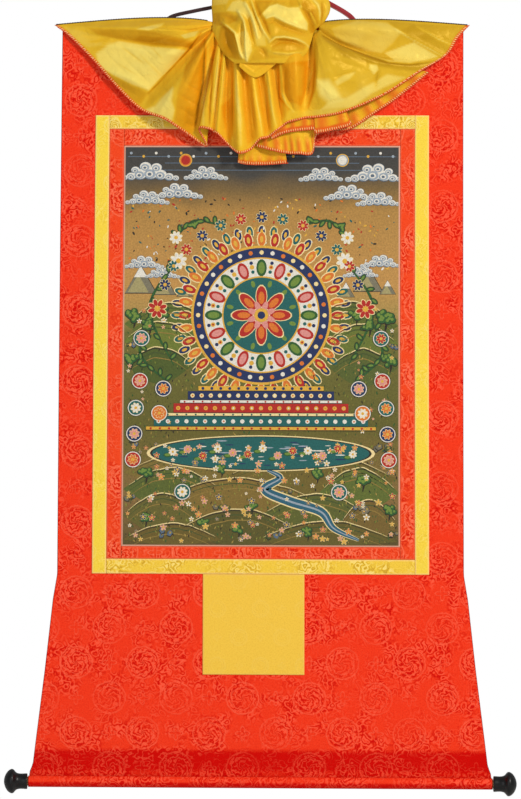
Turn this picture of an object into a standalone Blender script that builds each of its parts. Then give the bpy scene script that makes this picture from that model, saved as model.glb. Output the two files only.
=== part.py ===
"""Thangka scroll painting with its lifted silk veil, two rods and a hanging cord.

Sizes are in millimetres and turned to metres when a mesh is made. The front faces -Y, and `out` is the
distance towards the viewer. The origin is the point where the cord hangs on its hook.
"""
import math

import bmesh
import bpy
from mathutils import Matrix, Vector

MM = 0.001

GAP = 0.3                     # between two pieces that touch
MOUNT_CLOTH = 1.5             # brocade with its paper backing
APPLIQUE = 1.0                # painting, border strips and door panel
SILK = 1.6                    # veil, doubled at its hems

TOP_Z = -92.2                 # upper edge of the mount cloth, under the hook
TOP_FOLD_HEIGHT = 1.6         # the cloth lies close over the batten's upper edge
MOUTH_START = 110.0           # from here to its ends the top sleeve opens a little
MOUTH_OPENING = 0.9
ROD_Z = -1267.0               # axis of the lower rod
LEAN = 4.2                    # the lower end hangs this far to the left
SPREAD = 0.02                 # the lower end is this share wider than the upright pattern
TILT = math.tan(math.radians(0.35))     # the lower rod drops to the right

BATTEN_SIZE = (606.0, 5.0, 22.0)        # flat stick in the top sleeve: width, depth, height
ROD_RADIUS = 7.0
ROD_HALF_LENGTH = 374.0
KNOB_INNER_X = 361.0          # from the rod's middle to a knob's inner face
SOCKET_DEPTH = 14.0
ROLL_RADIUS = ROD_RADIUS + GAP + MOUNT_CLOTH / 2

# Half width of the upright mount cloth by height.
MOUNT_OUTLINE = [
    # (z, half_width)
    (TOP_Z + 20, 310.5),
    (-945.0, 310.5),
    (-984.0, 316.8),
    (-1093.0, 328.4),
    (-1240.0, 345.9),
    (-1257.0, 352.5),
    (-1290.0, 352.5),
]

# Half width, top and bottom of each nested frame on the mount cloth.
FRAMES = {
    # name: (half_width, top_z, bottom_z)
    "yellow_outer": (257.5, -233.3, -944.0),
    "red_outer": (235.6, -254.6, -920.7),
    "painting": (213.0, -280.6, -901.3),
}
DOOR = {"middle_x": -10.5, "half_width": 77.5, "bottom_z": -1100.0}

# Turned profile of a knob, from its inner face outwards.
KNOB_PROFILE = [
    # (along, radius)
    (0.0, 11.4), (0.9, 12.2), (6.0, 11.9), (12.0, 11.9), (15.5, 12.6), (18.5, 14.8), (20.8, 17.4),
    (22.4, 18.6), (24.0, 18.9), (25.6, 18.6), (28.4, 17.0), (31.2, 14.2), (33.6, 10.4), (35.4, 5.6),
]
KNOB_LENGTH = 36.2

CORD_RADIUS = 2.5
CORD_STEP = 11.0
# Route of the hanging cord: sewn behind the top sleeve, over the edge, up to the hook and back.
CORD_ROUTE = [
    # (x, out, z)
    (-157.0, -10.9, -119.0), (-157.0, -10.9, -108.0), (-156.0, -10.9, -97.0), (-150.5, -10.0, -86.0),
    (-138.0, -9.0, -78.0), (-105.0, -8.0, -70.5), (-67.0, -6.5, -62.5), (-48.0, -5.0, -54.0),
    (-34.0, -4.0, -41.5), (-24.0, -2.5, -27.0), (-16.5, -1.0, -13.5), (-10.4, -0.3, -3.5),
    (-6.0, 0.0, 0.9), (0.0, 0.0, 2.5), (6.0, 0.0, 0.9), (17.0, -0.5, -6.5), (35.0, -2.0, -18.5),
    (60.0, -4.5, -34.0), (93.0, -7.0, -54.0), (125.0, -9.0, -72.0), (139.0, -10.0, -83.0),
    (146.0, -10.9, -96.0), (147.0, -10.9, -108.0), (147.0, -10.9, -119.0),
]

# Ribs of the veil run from the gather to the hem. `belly` swells a rib forwards and `rise` lifts its middle.
FRONT_RIBS = [
    # (name, gather_x, gather_out, gather_z, hem_x, hem_out, hem_z, belly, rise)
    ("left_top_edge", -81, 16, -93, -323, 1.9, -93.5, 0, 5),
    ("left_crease", -81, 17, -95, -302, 5.5, -109, 12, 0),
    ("left_high", -79, 17, -97, -264, 8, -147, 9, 0),
    ("left_mid", -79, 18, -99, -225, 11, -191, 17, 0),
    ("left_fold", -78, 18, -102, -189, 11, -225, 3, 0),
    ("left_panel", -76, 19, -105, -153, 21, -240, 19, 0),
    ("left_panel_fold", -74, 19, -108, -126, 17, -257, 11, 0),
    ("left_tip", -71, 20, -111, -88, 9, -282, 2, 0),
    ("pleat_a_left", -68, 21, -114, -99, 26, -256, 9, 0),
    ("pleat_a", -65, 21, -116, -82, 33, -257, 11, 0),
    ("valley_ab", -62, 21, -118, -77, 20, -260, 4, 0),
    ("pleat_b", -58, 21, -120, -70, 32, -264, 11, 0),
    ("valley_bc", -53, 22, -122, -57, 15, -277, 2, 0),
    ("pleat_c_left", -47, 22, -124, -46, 25, -288, 7, 0),
    ("pleat_c", -41, 23, -126, -35, 36, -294, 11, 0),
    ("valley_cd", -32, 23, -127, -19, 25, -288, 4, 0),
    ("pleat_d", -23, 23, -129, -5, 36, -273, 12, 0),
    ("valley_de", -11, 23, -129, 8, 26, -269, 4, 0),
    ("pleat_e", 2, 23, -129, 20, 37, -260, 12, 0),
    ("valley_ef", 12, 23, -129, 29, 26, -253, 2, 0),
    ("tube_left", 23, 22, -127, 39, 32, -246, 16, 0),
    ("tube", 48, 22, -121, 54, 29, -242, 30, 0),
    ("tube_right", 70, 20, -113, 66, 27, -239, 0, 0),
    ("right_inner", 76, 19, -110, 89, 30, -237, 14, 0),
    ("right_low", 80, 18, -107, 127, 29, -229, 22, 0),
    ("right_panel", 83, 18, -105, 188, 22, -202, 24, -3),
    ("right_sag", 85, 17, -103, 243, 15, -166, 19, -12),
    ("right_fold", 87, 17, -101, 284, 9, -140, 3, -20),
    ("right_high", 88, 16, -99, 302, 5.5, -113, 11, 0),
    ("right_top_edge", 90, 16, -98, 319, 1.9, -94, 0, 11),
]
SEAT_POWER = 3                # how soon a rib leaves the gather's depth for its hem's
LOWEST_TIER_RIBS = [
    ("tier_left", -24, 19, -127, -39, 10, -307, 0, 0),
    ("tier_fold", -14, 19, -128, -22, 14, -310, 2, 0),
    ("tier_middle", 0, 19, -128, 6, 9, -310, 0, 0),
    ("tier_right", 14, 19, -127, 37, 12, -308, 0, 0),
]
SECOND_TIER_RIBS = [
    ("second_left", -4, 21, -127, -11, 17, -282, 1, 0),
    ("second_fold", 8, 21, -127, 12, 20, -288, 1, 0),
    ("second_middle", 20, 20, -126, 37, 17, -293, 0, 0),
    ("second_pale", 36, 20, -123, 56, 20, -294, 0, 0),
    ("second_right", 50, 19, -119, 76, 16, -293, 0, 0),
    ("tab_left", 60, 19, -116, 83, 15, -266, 0, 0),
    ("tab_middle", 67, 18, -114, 108, 18, -259, 0, 0),
    ("tab_right", 72, 18, -112, 137, 14, -254, 0, 0),
    ("lining_low", 76, 17, -110, 175, 11, -229, 3, 0),
    ("lining_mid", 80, 16, -108, 209, 9, -206, 4, 0),
    ("lining_high", 83, 16, -106, 257, 7, -167, 4, -6),
]
TAB_RIBS = [
    ("hood_tab_left", -30, 30, -128, -37, 46, -161, 3, 0),
    ("hood_tab_point", -14, 31, -130, -11, 45, -178, 3, 0),
    ("hood_tab_right", 8, 31, -130, 20, 46, -157, 3, 0),
]

# Bundle of folds where the veil is drawn together, hidden under the hood.
GATHER_PATH = [
    # (x, out, z, radius)
    (-84, 16, -95, 3.5), (-74, 18.5, -105, 8.0), (-55, 22, -120, 10.0), (-28, 24, -127, 11.0), (3, 25, -129, 11.5),
    (34, 23, -124, 10.5), (60, 21, -116, 9.5), (80, 18.5, -107, 7.5), (92, 16, -100, 3.5),
]

# Hood: the veil's middle lifted in a loop, up behind the gather, over the top and down in front.
HOOD_STATIONS = [
    # (name, z, left_x, right_x, out_middle, out_edge)
    ("inside_back", -122, -52, 62, 17, 17),
    ("back_low", -100, -66, 82, 9.5, 9),
    ("back", -68, -77, 92, 7, 7),
    ("back_high", -42, -76, 91, 7.5, 7),
    ("top", -27, -66, 82, 17, 12),
    ("front_high", -40, -77, 94, 31, 14),
    ("front", -66, -79, 102, 41, 14),
    ("front_middle", -91, -75, 88, 48, 17),
    ("belly", -119, -70, 72, 54, 27),
    ("low", -141, -59, 64, 56, 37),
    ("lip", -152, -42, 44, 52, 44),
    ("under", -147, -38, 40, 42, 36),
    ("inside_front", -134, -36, 40, 31, 30),
]
# Ridges and hollows on the hood's front: lines with a width and a height.
HOOD_FOLDS = [
    # (name, top_x, top_z, bottom_x, bottom_z, width, height)
    ("open_fold", -60, -96, -30, -150, 7, 6),
    ("pocket", -66, -92, -44, -140, 9, -9),
    ("ridge", -30, -66, -27, -146, 6, 6),
    ("hollow", -14, -60, -4, -130, 8, -5),
    ("brow", 8, -72, 64, -100, 9, 5),
    ("oval", 16, -132, 64, -128, 10, 5),
    ("oval_top", 6, -112, 70, -114, 5, -5),
    ("right_lobe", 62, -50, 84, -98, 7, 5),
]
HOOD_TAPER_U = 3.0            # how square the hood's cross-section is


def hung(x, z):
    """Where a point of the upright pattern hangs: towards the rod it leans, spreads and tilts."""
    t = (TOP_Z - z) / (TOP_Z - ROD_Z)
    return x * (1 + SPREAD * t) - LEAN * t * (2 - t), z - TILT * t * x


def to_world(x, out, z):
    return Vector((x * MM, -out * MM, z * MM))


def material(name, colour, roughness, metallic=0.0, sheen=0.0):
    made = bpy.data.materials.get(name) or bpy.data.materials.new(name)
    made.use_nodes = True
    shader = made.node_tree.nodes["Principled BSDF"]
    shader.inputs["Base Color"].default_value = (*colour, 1.0)
    shader.inputs["Roughness"].default_value = roughness
    shader.inputs["Metallic"].default_value = metallic
    shader.inputs["Sheen Weight"].default_value = sheen
    made.diffuse_color = (*colour, 1.0)
    return made


def add_object(name, bm, finish, smooth_angle=30.0):
    """Turn a bmesh into one named object with its faces pointing out."""
    mesh = bpy.data.meshes.new(name)
    bm.to_mesh(mesh)
    bm.free()
    mesh.shade_smooth()
    mesh.set_sharp_from_angle(angle=math.radians(smooth_angle))
    mesh.materials.append(finish)
    made = bpy.data.objects.new(name, mesh)
    bpy.context.scene.collection.objects.link(made)
    return made


def grid(rows):
    """A bmesh skin over rows of points, every row with the same number of points."""
    bm = bmesh.new()
    made = [[bm.verts.new(to_world(*point)) for point in row] for row in rows]
    for upper, lower in zip(made, made[1:]):
        for left in range(len(upper) - 1):
            bm.faces.new((upper[left], lower[left], lower[left + 1], upper[left + 1]))
    return bm


def thicken(thing, thickness):
    """Give a skin its cloth thickness, half to each side."""
    solid = thing.modifiers.new("Thickness", "SOLIDIFY")
    solid.thickness = thickness * MM
    solid.offset = 0.0
    solid.use_even_offset = False
    return thing


def smooth_between(before, start, end, after, t):
    """Catmull-Rom value at t between start and end."""
    return 0.5 * (2 * start + (end - before) * t + (2 * before - 5 * start + 4 * end - after) * t ** 2
                  + (3 * start - before - 3 * end + after) * t ** 3)


def smooth_rows(rows, steps):
    """Rows of numbers with `steps` smooth ones from each to the next."""
    last = len(rows) - 1
    made = []
    for index in range(last):
        around = [rows[max(0, min(last, index + shift))] for shift in (-1, 0, 1, 2)]
        for step in range(steps):
            made.append([smooth_between(*values, step / steps) for values in zip(*around)])
    made.append(list(rows[last]))
    return made


def height_between(table, z):
    """Read the half width at a height from a table sorted from the top down."""
    for (upper_z, upper), (lower_z, lower) in zip(table, table[1:]):
        if z >= lower_z:
            return upper + (lower - upper) * (upper_z - z) / (upper_z - lower_z)
    return table[-1][1]


def mount_section():
    """The mount cloth's section from its top hem, over the batten, down the front and round the rod."""
    half = MOUNT_CLOTH / 2
    back_out = -(BATTEN_SIZE[1] + 2 * GAP + MOUNT_CLOTH)
    seam_out = -(MOUNT_CLOTH + GAP)
    fold = -back_out / 2
    fold_z = TOP_Z - half - TOP_FOLD_HEIGHT
    sleeve_low = fold_z - BATTEN_SIZE[2] - 5
    section = [(seam_out, sleeve_low - 16), (seam_out, sleeve_low - 9), (back_out, sleeve_low),
               (back_out, fold_z)]
    for step in range(1, 8):
        turn = math.pi - math.pi * step / 8
        section.append((-fold + fold * math.cos(turn), fold_z + TOP_FOLD_HEIGHT * math.sin(turn)))
    section.append((0.0, fold_z))
    section += [(0.0, z) for z in (-140, -190, -254, -330, -410, -490, -570, -650, -730, -810, -880, -945,
                                   -984, -1040, -1093, -1150, -1205)]
    section += [(-1.2, -1222), (-3.6, -1238), (-5.8, -1250)]
    rod_out = back_out + ROLL_RADIUS
    for step in range(19):
        turn = math.radians(180 + 300 * step / 18)
        section.append((rod_out + ROLL_RADIUS * math.cos(turn), ROD_Z + ROLL_RADIUS * math.sin(turn)))
    return section, rod_out, back_out, sleeve_low


def make_mount_cloth(finish):
    section, rod_out, back_out, sleeve_low = mount_section()
    columns = 12
    rows = []
    for out, z in section:
        half_width = height_between(MOUNT_OUTLINE, z)
        looseness = MOUTH_OPENING * max(0.0, out / back_out) if z > sleeve_low - 1 else 0.0
        row = []
        for column in range(columns + 1):
            upright_x = half_width * (2 * column / columns - 1)
            mouth = max(0.0, (abs(upright_x) - MOUTH_START) / (half_width - MOUTH_START))
            x, hung_z = hung(upright_x, z)
            row.append((x, out - looseness * mouth, hung_z))
        rows.append(row)
    thicken(add_object("mount_cloth", grid(rows), finish), MOUNT_CLOTH)
    return rod_out


def make_panel(name, left, right, top, bottom, finish):
    """A flat piece sewn on the mount cloth, drawn upright and then hung."""
    out = MOUNT_CLOTH / 2 + GAP + APPLIQUE / 2
    columns = max(1, round((right - left) / 60))
    steps = max(1, round((top - bottom) / 60))
    rows = []
    for step in range(steps + 1):
        z = top + (bottom - top) * step / steps
        row = []
        for column in range(columns + 1):
            x, hung_z = hung(left + (right - left) * column / columns, z)
            row.append((x, out, hung_z))
        rows.append(row)
    return thicken(add_object(name, grid(rows), finish), APPLIQUE)


def make_frame(name, outer, inner, finish):
    """Four strips: the side strips run full height, and the others fit between them."""
    outer_half, outer_top, outer_bottom = FRAMES[outer]
    inner_half, inner_top, inner_bottom = FRAMES[inner]
    inner_half, inner_top, inner_bottom = inner_half + GAP, inner_top + GAP, inner_bottom - GAP
    make_panel(name + "_left", -outer_half, -inner_half, outer_top, outer_bottom, finish)
    make_panel(name + "_right", inner_half, outer_half, outer_top, outer_bottom, finish)
    between = inner_half - GAP
    make_panel(name + "_top", -between, between, outer_top, inner_top, finish)
    make_panel(name + "_bottom", -between, between, inner_bottom, outer_bottom, finish)


def make_batten(finish):
    bm = bmesh.new()
    bmesh.ops.create_cube(bm, size=1.0)
    bmesh.ops.scale(bm, vec=[size * MM for size in BATTEN_SIZE], verts=bm.verts)
    batten = add_object("top_batten", bm, finish)
    middle_out = -(MOUNT_CLOTH / 2 + GAP + BATTEN_SIZE[1] / 2)
    top = TOP_Z - MOUNT_CLOTH - TOP_FOLD_HEIGHT - GAP
    batten.location = to_world(0, middle_out, top - BATTEN_SIZE[2] / 2)


def spin_profile(profile, sides):
    """A closed turned shape about the X axis from (along, radius) points that start and end on it."""
    bm = bmesh.new()
    verts = [bm.verts.new((along * MM, 0.0, radius * MM)) for along, radius in profile]
    edges = [bm.edges.new(pair) for pair in zip(verts, verts[1:])]
    bmesh.ops.spin(bm, geom=verts + edges, cent=(0, 0, 0), axis=(1, 0, 0), angle=2 * math.pi,
                   steps=sides, use_merge=True)
    bmesh.ops.remove_doubles(bm, verts=bm.verts, dist=0.00002)
    bmesh.ops.recalc_face_normals(bm, faces=bm.faces)
    return bm


def place_on_rod(thing, along, rod_out, turned=False):
    """Put a turned piece on the tilted rod, `along` its axis from the middle."""
    middle_x, middle_z = hung(0, ROD_Z)
    tilt = Matrix.Rotation(math.atan(TILT), 4, "Y")
    about = Matrix.Rotation(math.pi, 4, "Z") if turned else Matrix.Identity(4)
    thing.matrix_world = (Matrix.Translation(to_world(middle_x, rod_out, middle_z)) @ tilt
                          @ Matrix.Translation((along * MM, 0, 0)) @ about)


def make_rod(rod_out, finish):
    chamfer = 0.8
    profile = [(-ROD_HALF_LENGTH, 0), (-ROD_HALF_LENGTH, ROD_RADIUS - chamfer),
               (-ROD_HALF_LENGTH + chamfer, ROD_RADIUS), (ROD_HALF_LENGTH - chamfer, ROD_RADIUS),
               (ROD_HALF_LENGTH, ROD_RADIUS - chamfer), (ROD_HALF_LENGTH, 0)]
    place_on_rod(add_object("bottom_rod", spin_profile(profile, 24), finish), 0, rod_out)


def make_knobs(rod_out, finish):
    bore = ROD_RADIUS + GAP
    profile = [(SOCKET_DEPTH, 0), (SOCKET_DEPTH, bore), (0, bore)] + KNOB_PROFILE + [(KNOB_LENGTH, 0)]
    for side, name in ((-1, "knob_left"), (1, "knob_right")):
        knob = add_object(name, spin_profile(profile, 28), finish, smooth_angle=50)
        place_on_rod(knob, side * KNOB_INNER_X, rod_out, turned=side < 0)


def cord_points():
    """Evenly spaced points on one smooth curve through the route."""
    fine = [Vector(point) for point in smooth_rows(CORD_ROUTE, 12)]
    lengths = [0.0]
    for start, end in zip(fine, fine[1:]):
        lengths.append(lengths[-1] + (end - start).length)
    count = round(lengths[-1] / CORD_STEP)
    points = []
    index = 0
    for step in range(count + 1):
        wanted = lengths[-1] * step / count
        while index < len(fine) - 2 and lengths[index + 1] < wanted:
            index += 1
        share = (wanted - lengths[index]) / (lengths[index + 1] - lengths[index])
        points.append(fine[index].lerp(fine[index + 1], share))
    return points


def make_cord(finish):
    curve = bpy.data.curves.new("hanging_cord", "CURVE")
    curve.dimensions = "3D"
    curve.bevel_depth = CORD_RADIUS * MM
    curve.bevel_resolution = 2
    curve.use_fill_caps = True
    points = cord_points()
    spline = curve.splines.new("POLY")
    spline.points.add(len(points) - 1)
    for place, point in zip(spline.points, points):
        place.co = (*to_world(*point), 1.0)
    curve.materials.append(finish)
    bpy.context.scene.collection.objects.link(bpy.data.objects.new("hanging_cord", curve))


def fan_rows(ribs, steps, stations):
    """Rows of points from the gather to the hem over a fan of ribs."""
    columns = smooth_rows([rib[1:] for rib in ribs], steps)
    rows = []
    for station in range(stations + 1):
        v = station / stations
        swell = math.sin(math.pi * v)
        row = []
        for gather_x, gather_out, gather_z, hem_x, hem_out, hem_z, belly, rise in columns:
            out = hem_out + (gather_out - hem_out) * (1 - v) ** SEAT_POWER + belly * swell ** 0.8
            z = gather_z + (hem_z - gather_z) * v + rise * swell
            row.append((gather_x + (hem_x - gather_x) * v, out, z))
        rows.append(row)
    return rows


def hood_relief(x, z):
    """How far the hood's front stands out at a point, over all its folds."""
    relief = 0.0
    for _name, top_x, top_z, bottom_x, bottom_z, width, height in HOOD_FOLDS:
        line = Vector((bottom_x - top_x, bottom_z - top_z))
        place = Vector((x - top_x, z - top_z))
        along = max(0.0, min(1.0, place.dot(line) / line.length_squared))
        away = (place - line * along).length / width
        relief += height * math.exp(-away * away) * math.sin(math.pi * (0.1 + 0.8 * along))
    return relief


def hood_rows(steps, columns):
    """Rows across the hood, from inside the gather, up the back, over the top and down the front."""
    front = [station[0] for station in HOOD_STATIONS].index("front_high")
    rows = []
    for index, (z, left, right, out_middle, out_edge) in enumerate(
            smooth_rows([station[1:] for station in HOOD_STATIONS], steps)):
        row = []
        for column in range(columns + 1):
            u = 2 * column / columns - 1
            x = (left + right) / 2 + u * (right - left) / 2
            arch = 1 - abs(u) ** HOOD_TAPER_U
            out = out_edge + (out_middle - out_edge) * arch
            on_front = max(0.0, min(1.0, index / steps - front))
            inside = max(0.0, min(1.0, len(HOOD_STATIONS) - 3 - index / steps))
            out += hood_relief(x, z) * arch ** 0.5 * on_front * inside
            row.append((x, out, z))
        rows.append(row)
    return rows


def gather_bundle(finish):
    """The drawn-together folds as a short lumpy roll with closed ends."""
    sides = 12
    path = smooth_rows(GATHER_PATH, 2)
    bm = bmesh.new()
    rings = []
    for index, (x, out, z, radius) in enumerate(path):
        before, after = path[max(0, index - 1)], path[min(len(path) - 1, index + 1)]
        run = (to_world(*after[:3]) - to_world(*before[:3])).normalized()
        across = run.cross(Vector((0, 1, 0))).normalized()
        ring = []
        for side in range(sides):
            turn = 2 * math.pi * side / sides
            offset = across * math.cos(turn) + Vector((0, 1, 0)) * math.sin(turn)
            ring.append(bm.verts.new(to_world(x, out, z) + offset * radius * MM))
        rings.append(ring)
    for start, end in zip(rings, rings[1:]):
        for side in range(sides):
            after = (side + 1) % sides
            bm.faces.new((start[side], start[after], end[after], end[side]))
    for ring in (rings[0], rings[-1]):
        bm.faces.new(ring)
    bmesh.ops.recalc_face_normals(bm, faces=bm.faces)
    return add_object("veil", bm, finish, smooth_angle=60)


def make_veil(finish):
    """One silk cloth: the folds are made as sheets that grow out of the gather and joined to it."""
    veil = gather_bundle(finish)
    sheets = {
        "front_fan": fan_rows(FRONT_RIBS, 3, 12),
        "lowest_tier": fan_rows(LOWEST_TIER_RIBS, 3, 9),
        "second_tier": fan_rows(SECOND_TIER_RIBS, 2, 9),
        "hood_tab": fan_rows(TAB_RIBS, 3, 4),
        "hood": hood_rows(2, 26),
    }
    for name, rows in sheets.items():
        cutter = thicken(add_object("fold_" + name, grid(rows), finish), SILK)
        cutter.hide_render = True
        cutter.display_type = "WIRE"
        joined = veil.modifiers.new("Join " + name, "BOOLEAN")
        joined.operation = "UNION"
        joined.solver = "EXACT"
        joined.use_self = True
        joined.object = cutter


def build():
    for thing in list(bpy.data.objects):
        bpy.data.objects.remove(thing, do_unlink=True)

    red = material("red_brocade", (0.80, 0.055, 0.018), 0.55, sheen=0.3)
    yellow = material("yellow_brocade", (0.86, 0.60, 0.055), 0.5, sheen=0.3)
    canvas = material("painted_canvas", (0.33, 0.21, 0.07), 0.7)
    silk = material("veil_silk", (0.80, 0.50, 0.04), 0.35, sheen=0.4)
    wood = material("stick_wood", (0.45, 0.27, 0.13), 0.6)
    black = material("knob_black", (0.012, 0.012, 0.013), 0.3)
    braid = material("cord_braid", (0.20, 0.015, 0.03), 0.7)

    rod_out = make_mount_cloth(red)
    half, top, bottom = FRAMES["painting"]
    make_panel("painting", -half, half, top, bottom, canvas)
    make_frame("yellow_border", "yellow_outer", "red_outer", yellow)
    make_frame("red_border", "red_outer", "painting", red)
    door_left, door_right = (DOOR["middle_x"] + side * DOOR["half_width"] for side in (-1, 1))
    door_top = FRAMES["yellow_outer"][2] - GAP
    make_panel("door_panel", door_left, door_right, door_top, DOOR["bottom_z"], yellow)

    make_batten(wood)
    make_rod(rod_out, wood)
    make_knobs(rod_out, black)
    make_veil(silk)
    make_cord(braid)


build()
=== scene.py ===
"""Looks of a thangka scroll painting: brocade mount, painted panel, lifted silk veil, lower rod and cord.

Sizes are in millimetres until `to_world` turns them to metres. The front faces -Y, and `out` is the
distance towards the viewer.
"""

import math
import random

import bmesh
import bpy
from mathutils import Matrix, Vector, noise


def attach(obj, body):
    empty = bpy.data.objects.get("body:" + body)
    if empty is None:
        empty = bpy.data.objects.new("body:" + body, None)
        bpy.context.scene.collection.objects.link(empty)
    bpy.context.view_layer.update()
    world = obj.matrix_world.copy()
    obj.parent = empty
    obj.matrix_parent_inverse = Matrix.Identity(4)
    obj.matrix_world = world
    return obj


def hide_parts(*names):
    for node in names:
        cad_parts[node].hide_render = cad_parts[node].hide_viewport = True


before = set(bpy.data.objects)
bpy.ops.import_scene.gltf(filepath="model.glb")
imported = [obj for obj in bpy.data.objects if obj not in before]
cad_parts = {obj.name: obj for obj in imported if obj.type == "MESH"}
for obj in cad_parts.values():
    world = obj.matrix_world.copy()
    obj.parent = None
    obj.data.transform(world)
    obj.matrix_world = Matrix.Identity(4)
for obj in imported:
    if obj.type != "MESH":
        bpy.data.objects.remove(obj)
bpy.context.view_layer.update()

MM = 0.001
GAP = 0.3

# Sizes of the hung cloth, as the frame has them.
TOP_Z = -92.2
ROD_Z = -1267.0
LEAN = 4.2
SPREAD = 0.02
TILT = math.tan(math.radians(0.35))
MOUNT_THICKNESS = 1.5
APPLIQUE_THICKNESS = 1.0
PANEL_OUT = MOUNT_THICKNESS / 2 + GAP + APPLIQUE_THICKNESS / 2
PANEL_THICKNESS = 0.7
BATTEN_DEPTH = 5.0
BATTEN_HEIGHT = 22.0
TOP_FOLD_HEIGHT = 1.6
ROD_RADIUS = 7.0
ROLL_RADIUS = ROD_RADIUS + GAP + MOUNT_THICKNESS / 2
KNOB_INNER_X = 361.0
SLEEVE_BACK = -(BATTEN_DEPTH + 2 * GAP + MOUNT_THICKNESS)
ROD_OUT = SLEEVE_BACK + ROLL_RADIUS
# The mount's front hangs free between its sleeve and the band that slopes back to the roll.
FRONT_TOP_Z = -130.0
FRONT_LOW_Z = -1206.0
FRONT_STEPS = 150
MOUNT_COLUMNS = 84

MOUNT_OUTLINE = [
    # (z, half_width)
    (TOP_Z + 20, 310.5), (-945.0, 310.5), (-984.0, 316.8), (-1093.0, 328.4), (-1240.0, 345.9),
    (-1257.0, 352.5), (-1290.0, 352.5),
]
FRAMES = {
    # name: (half_width, top_z, bottom_z)
    "yellow_outer": (257.5, -233.3, -944.0),
    "red_outer": (235.6, -254.6, -920.7),
    "painting": (213.0, -280.6, -901.3),
}
DOOR_LEFT, DOOR_RIGHT, DOOR_BOTTOM = -88.0, 67.0, -1100.0


def linear(hex_colour):
    """An sRGB hex colour as linear RGBA."""
    channels = [int(hex_colour[index:index + 2], 16) / 255 for index in (1, 3, 5)]
    return [c / 12.92 if c <= 0.04045 else ((c + 0.055) / 1.055) ** 2.4 for c in channels] + [1.0]


def to_world(x, out, z):
    """A place in mm as one in the frame, in metres."""
    return Vector((x * MM, -out * MM, z * MM))


def hung(x, z):
    """Where a point of the upright pattern hangs: towards the rod it leans, spreads and tilts."""
    t = (TOP_Z - z) / (TOP_Z - ROD_Z)
    return x * (1 + SPREAD * t) - LEAN * t * (2 - t), z - TILT * t * x


def clamp(value, low=0.0, high=1.0):
    return max(low, min(high, value))


def blend(low, high, value):
    """Smooth step from 0 at low to 1 at high."""
    t = clamp((value - low) / (high - low))
    return t * t * (3 - 2 * t)


def ripple(x, z):
    """Soft unevenness of the hanging mount, none at its sticks and where the stiff panels are sewn on."""
    t = (TOP_Z - z) / (TOP_Z - ROD_Z)
    held = math.sin(math.pi * clamp(t))
    slack = max(blend(262, 300, abs(x)), blend(955, 1010, -z))
    slow = noise.noise(Vector((x / 190, z / 420, 3.1))) + 0.5 * noise.noise(Vector((x / 80, z / 300, 8.7)))
    return 1.6 * held * slack * slow


def smooth_between(before, start, end, after, t):
    """The value at share t between two of four values in a row, on a smooth curve through them."""
    return 0.5 * (2 * start + (end - before) * t + (2 * before - 5 * start + 4 * end - after) * t ** 2
                  + (3 * start - before - 3 * end + after) * t ** 3)


def smooth_row(rows, position):
    """The row of numbers at a fractional position in a table, on a smooth curve through its rows."""
    last = len(rows) - 1
    index = min(last - 1, int(position))
    around = [rows[max(0, min(last, index + shift))] for shift in (-1, 0, 1, 2)]
    return [smooth_between(*values, position - index) for values in zip(*around)]


def add(tree, kind, inputs=(), output=0, **settings):
    """Add a shader node with its settings; inputs, by place or by name, are values or sockets to link.
    Gives the output of this place or name."""
    node = tree.nodes.new("ShaderNode" + kind)
    for key, value in settings.items():
        setattr(node, key, value)
    for name, value in inputs.items() if isinstance(inputs, dict) else enumerate(inputs):
        if isinstance(value, bpy.types.NodeSocket):
            tree.links.new(value, node.inputs[name])
        else:
            node.inputs[name].default_value = value
    return node.outputs[output]


# A Mix node has one set of sockets for each kind of data. Those for colours are these.
COLOUR_A, COLOUR_B, COLOUR_OUT = 6, 7, 2


def new_material(name, **values):
    """A material with a Principled shader, and its tree and shader node."""
    made = bpy.data.materials.new(name)
    made.use_nodes = True
    tree = made.node_tree
    shader = tree.nodes["Principled BSDF"]
    for key, value in values.items():
        shader.inputs[key.replace("_", " ")].default_value = value
    return made, tree, shader


def set_look(tree, shader, relief, depth, strength, **linked):
    """Link a material's values to its shader, with the fine relief of its surface, of this depth in m."""
    bump = add(tree, "Bump", {"Height": relief, "Distance": depth, "Strength": strength})
    for name, value in {**linked, "Normal": bump}.items():
        tree.links.new(value, shader.inputs[name.replace("_", " ")])


# A medallion's curling arms, and the radians that each winds round between the middle and the ring.
ARMS = 6.0
ARM_WINDING = 18.375
# A dark red painted along the mount's two sides: a painted shadow at its edges.
PAINTED_EDGE_SHADOW = "#5A0C0A"


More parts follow.
